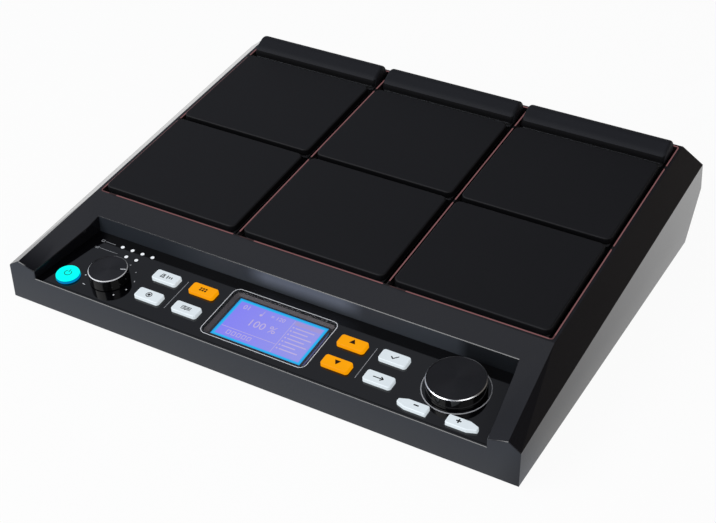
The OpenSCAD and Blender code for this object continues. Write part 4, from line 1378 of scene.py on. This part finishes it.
picture = [
    numerals("01", -25.0, 12.2, 5.6),
    dot(-13.0, 10.2, 1.0),
    dash(-12.2, 12.2, 0.4, 4.4),
    numerals("= 120", -1.0, 12.0, 4.6),
    numerals("100 %", -6.5, 1.2, 8.8),
]
picture += stroke([(-31.0, -8.4), (10.0, -8.4)], RULE)
picture += stroke([(10.4, -15.8), (10.4, 15.2)], RULE)
picture += [outline(-23.5 + 3.9 * i, -12.2, 2.8, 3.6, 0.3, 0.45) for i in range(5)]
for i, length in enumerate(LIST_LENGTHS):
    y = LIST_TOP - (i + 1.3) * LIST_STEP
    picture += [dash(LIST_LEFT, y, 1.2, 1.2), dash(LIST_LEFT + 1.6 + length / 2, y, length, 0.9)]
on_screen(picture, "screen_picture", SCREEN_INK)
on_screen([dash(LIST_X + 0.4, LIST_TOP - 0.3, LIST_W, 3.4)], "screen_header", SCREEN_SHADE)
print("display drawn")

# %% [markdown]
# The room
# The object stands on a white floor in a white room. Two broad lamps stand to the left and to the right of
# the camera. The room is white round the horizon and dark above and behind to the right, which is what the
# glossy panel and the bevels show. In reflections the floor carries painted shade: cooler and darker in
# front, and a painted shadow beside the right side.

# %% Floor
WHITE = (1, 1, 1, 1)
FRONT_PAINTED_SHADE = (0.6, 0.68, 0.82, 1)
SIDE_PAINTED_SHADOW = (0.05, 0.05, 0.055, 1)
GLOW_SHARE = 0.95
floor = start(bpy.ops.mesh.primitive_plane_add, "floor", size=8, location=(0, 0, CAD_BOX[0].z))
sheet = finish("floor_white")
path = sheet.add("LightPath", output="Is Camera Ray")
mirrored = (path.output("Is Glossy Ray") + path.output("Is Transmission Ray")).at_most(1.0)
seen = (path + mirrored).at_most(1.0)
floor_x, floor_y, _ = sheet.split(sheet.place())
# Only in reflections the floor carries painted shade: cooler and darker in front, and a painted shadow
# beside the right side that fades toward the back.
beside = floor_x.rise(0.17, 0.2) * (1 - floor_y.rise(-0.2, 0.3)) * 0.72
in_front = sheet.mix(floor_y.rise(-0.2, -0.1), FRONT_PAINTED_SHADE, WHITE)
mirror_tone_with_painted_shade = sheet.mix(beside, in_front, SIDE_PAINTED_SHADOW)
matte = sheet.add("BsdfDiffuse", {"Color": (0.8, 0.8, 0.8, 1)})
tone = sheet.mix(path, mirror_tone_with_painted_shade, WHITE)
lit = sheet.add("Emission", {"Color": tone})
coat(floor, sheet.surface(sheet.add("MixShader", {0: seen * GLOW_SHARE, 1: matte, 2: lit})))
floor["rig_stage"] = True
print("floor: height", CAD_BOX[0].z)

# %% Room and lamps
world = bpy.data.worlds.new("room")
bpy.context.scene.world = world
sheet = Sheet(world)
path = sheet.add("LightPath", output="Is Camera Ray")
to_right, to_back, up = sheet.split(sheet.add("TexCoord", output="Generated"))
ceiling = sheet.ramp(up, [
    (0.0, (0.92, 0.96, 1.0, 1)),
    (0.1, (0.76, 0.8, 0.87, 1)),
    (0.3, (0.34, 0.36, 0.42, 1)),
    (0.7, (0.33, 0.35, 0.4, 1)),
    (0.92, (0.52, 0.54, 0.6, 1)),
    (1.0, (0.5, 0.52, 0.58, 1)),
])
dark_side = (to_right + to_back * 0.36 + up * 0.3).rise(0.09, 0.24) * up.rise(0.04, 0.16)
dark_tone = sheet.mix(up.rise(0.35, 0.75), (0.19, 0.17, 0.15, 1), (0.02, 0.02, 0.022, 1))
shaded = sheet.mix(dark_side, ceiling, dark_tone)
backdrop = sheet.mix(path, shaded, WHITE)
background = sheet.add("Background", {"Color": backdrop})
sheet.add("OutputWorld", {"Surface": background})


def softbox(name, place, size, watts):
    """A broad lamp that looks at the object."""
    toward = (Vector((0, 0, 0.03)) - Vector(place)).to_track_quat("-Z", "Y").to_euler()
    bpy.ops.object.light_add(type="AREA", location=place, rotation=toward)
    lamp = bpy.context.object
    lamp.name = name
    lamp.data.shape = "RECTANGLE"
    lamp.data.size, lamp.data.size_y = size
    lamp.data.energy = watts
    lamp.visible_camera = False


softbox("softbox_left", (-0.8, -1.25, 1.1), (1.4, 0.8), 20)
softbox("softbox_right", (1.4, -0.95, 1.1), (1.3, 0.9), 8)
print("room lit")

# %% Sizes and the end
low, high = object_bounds()
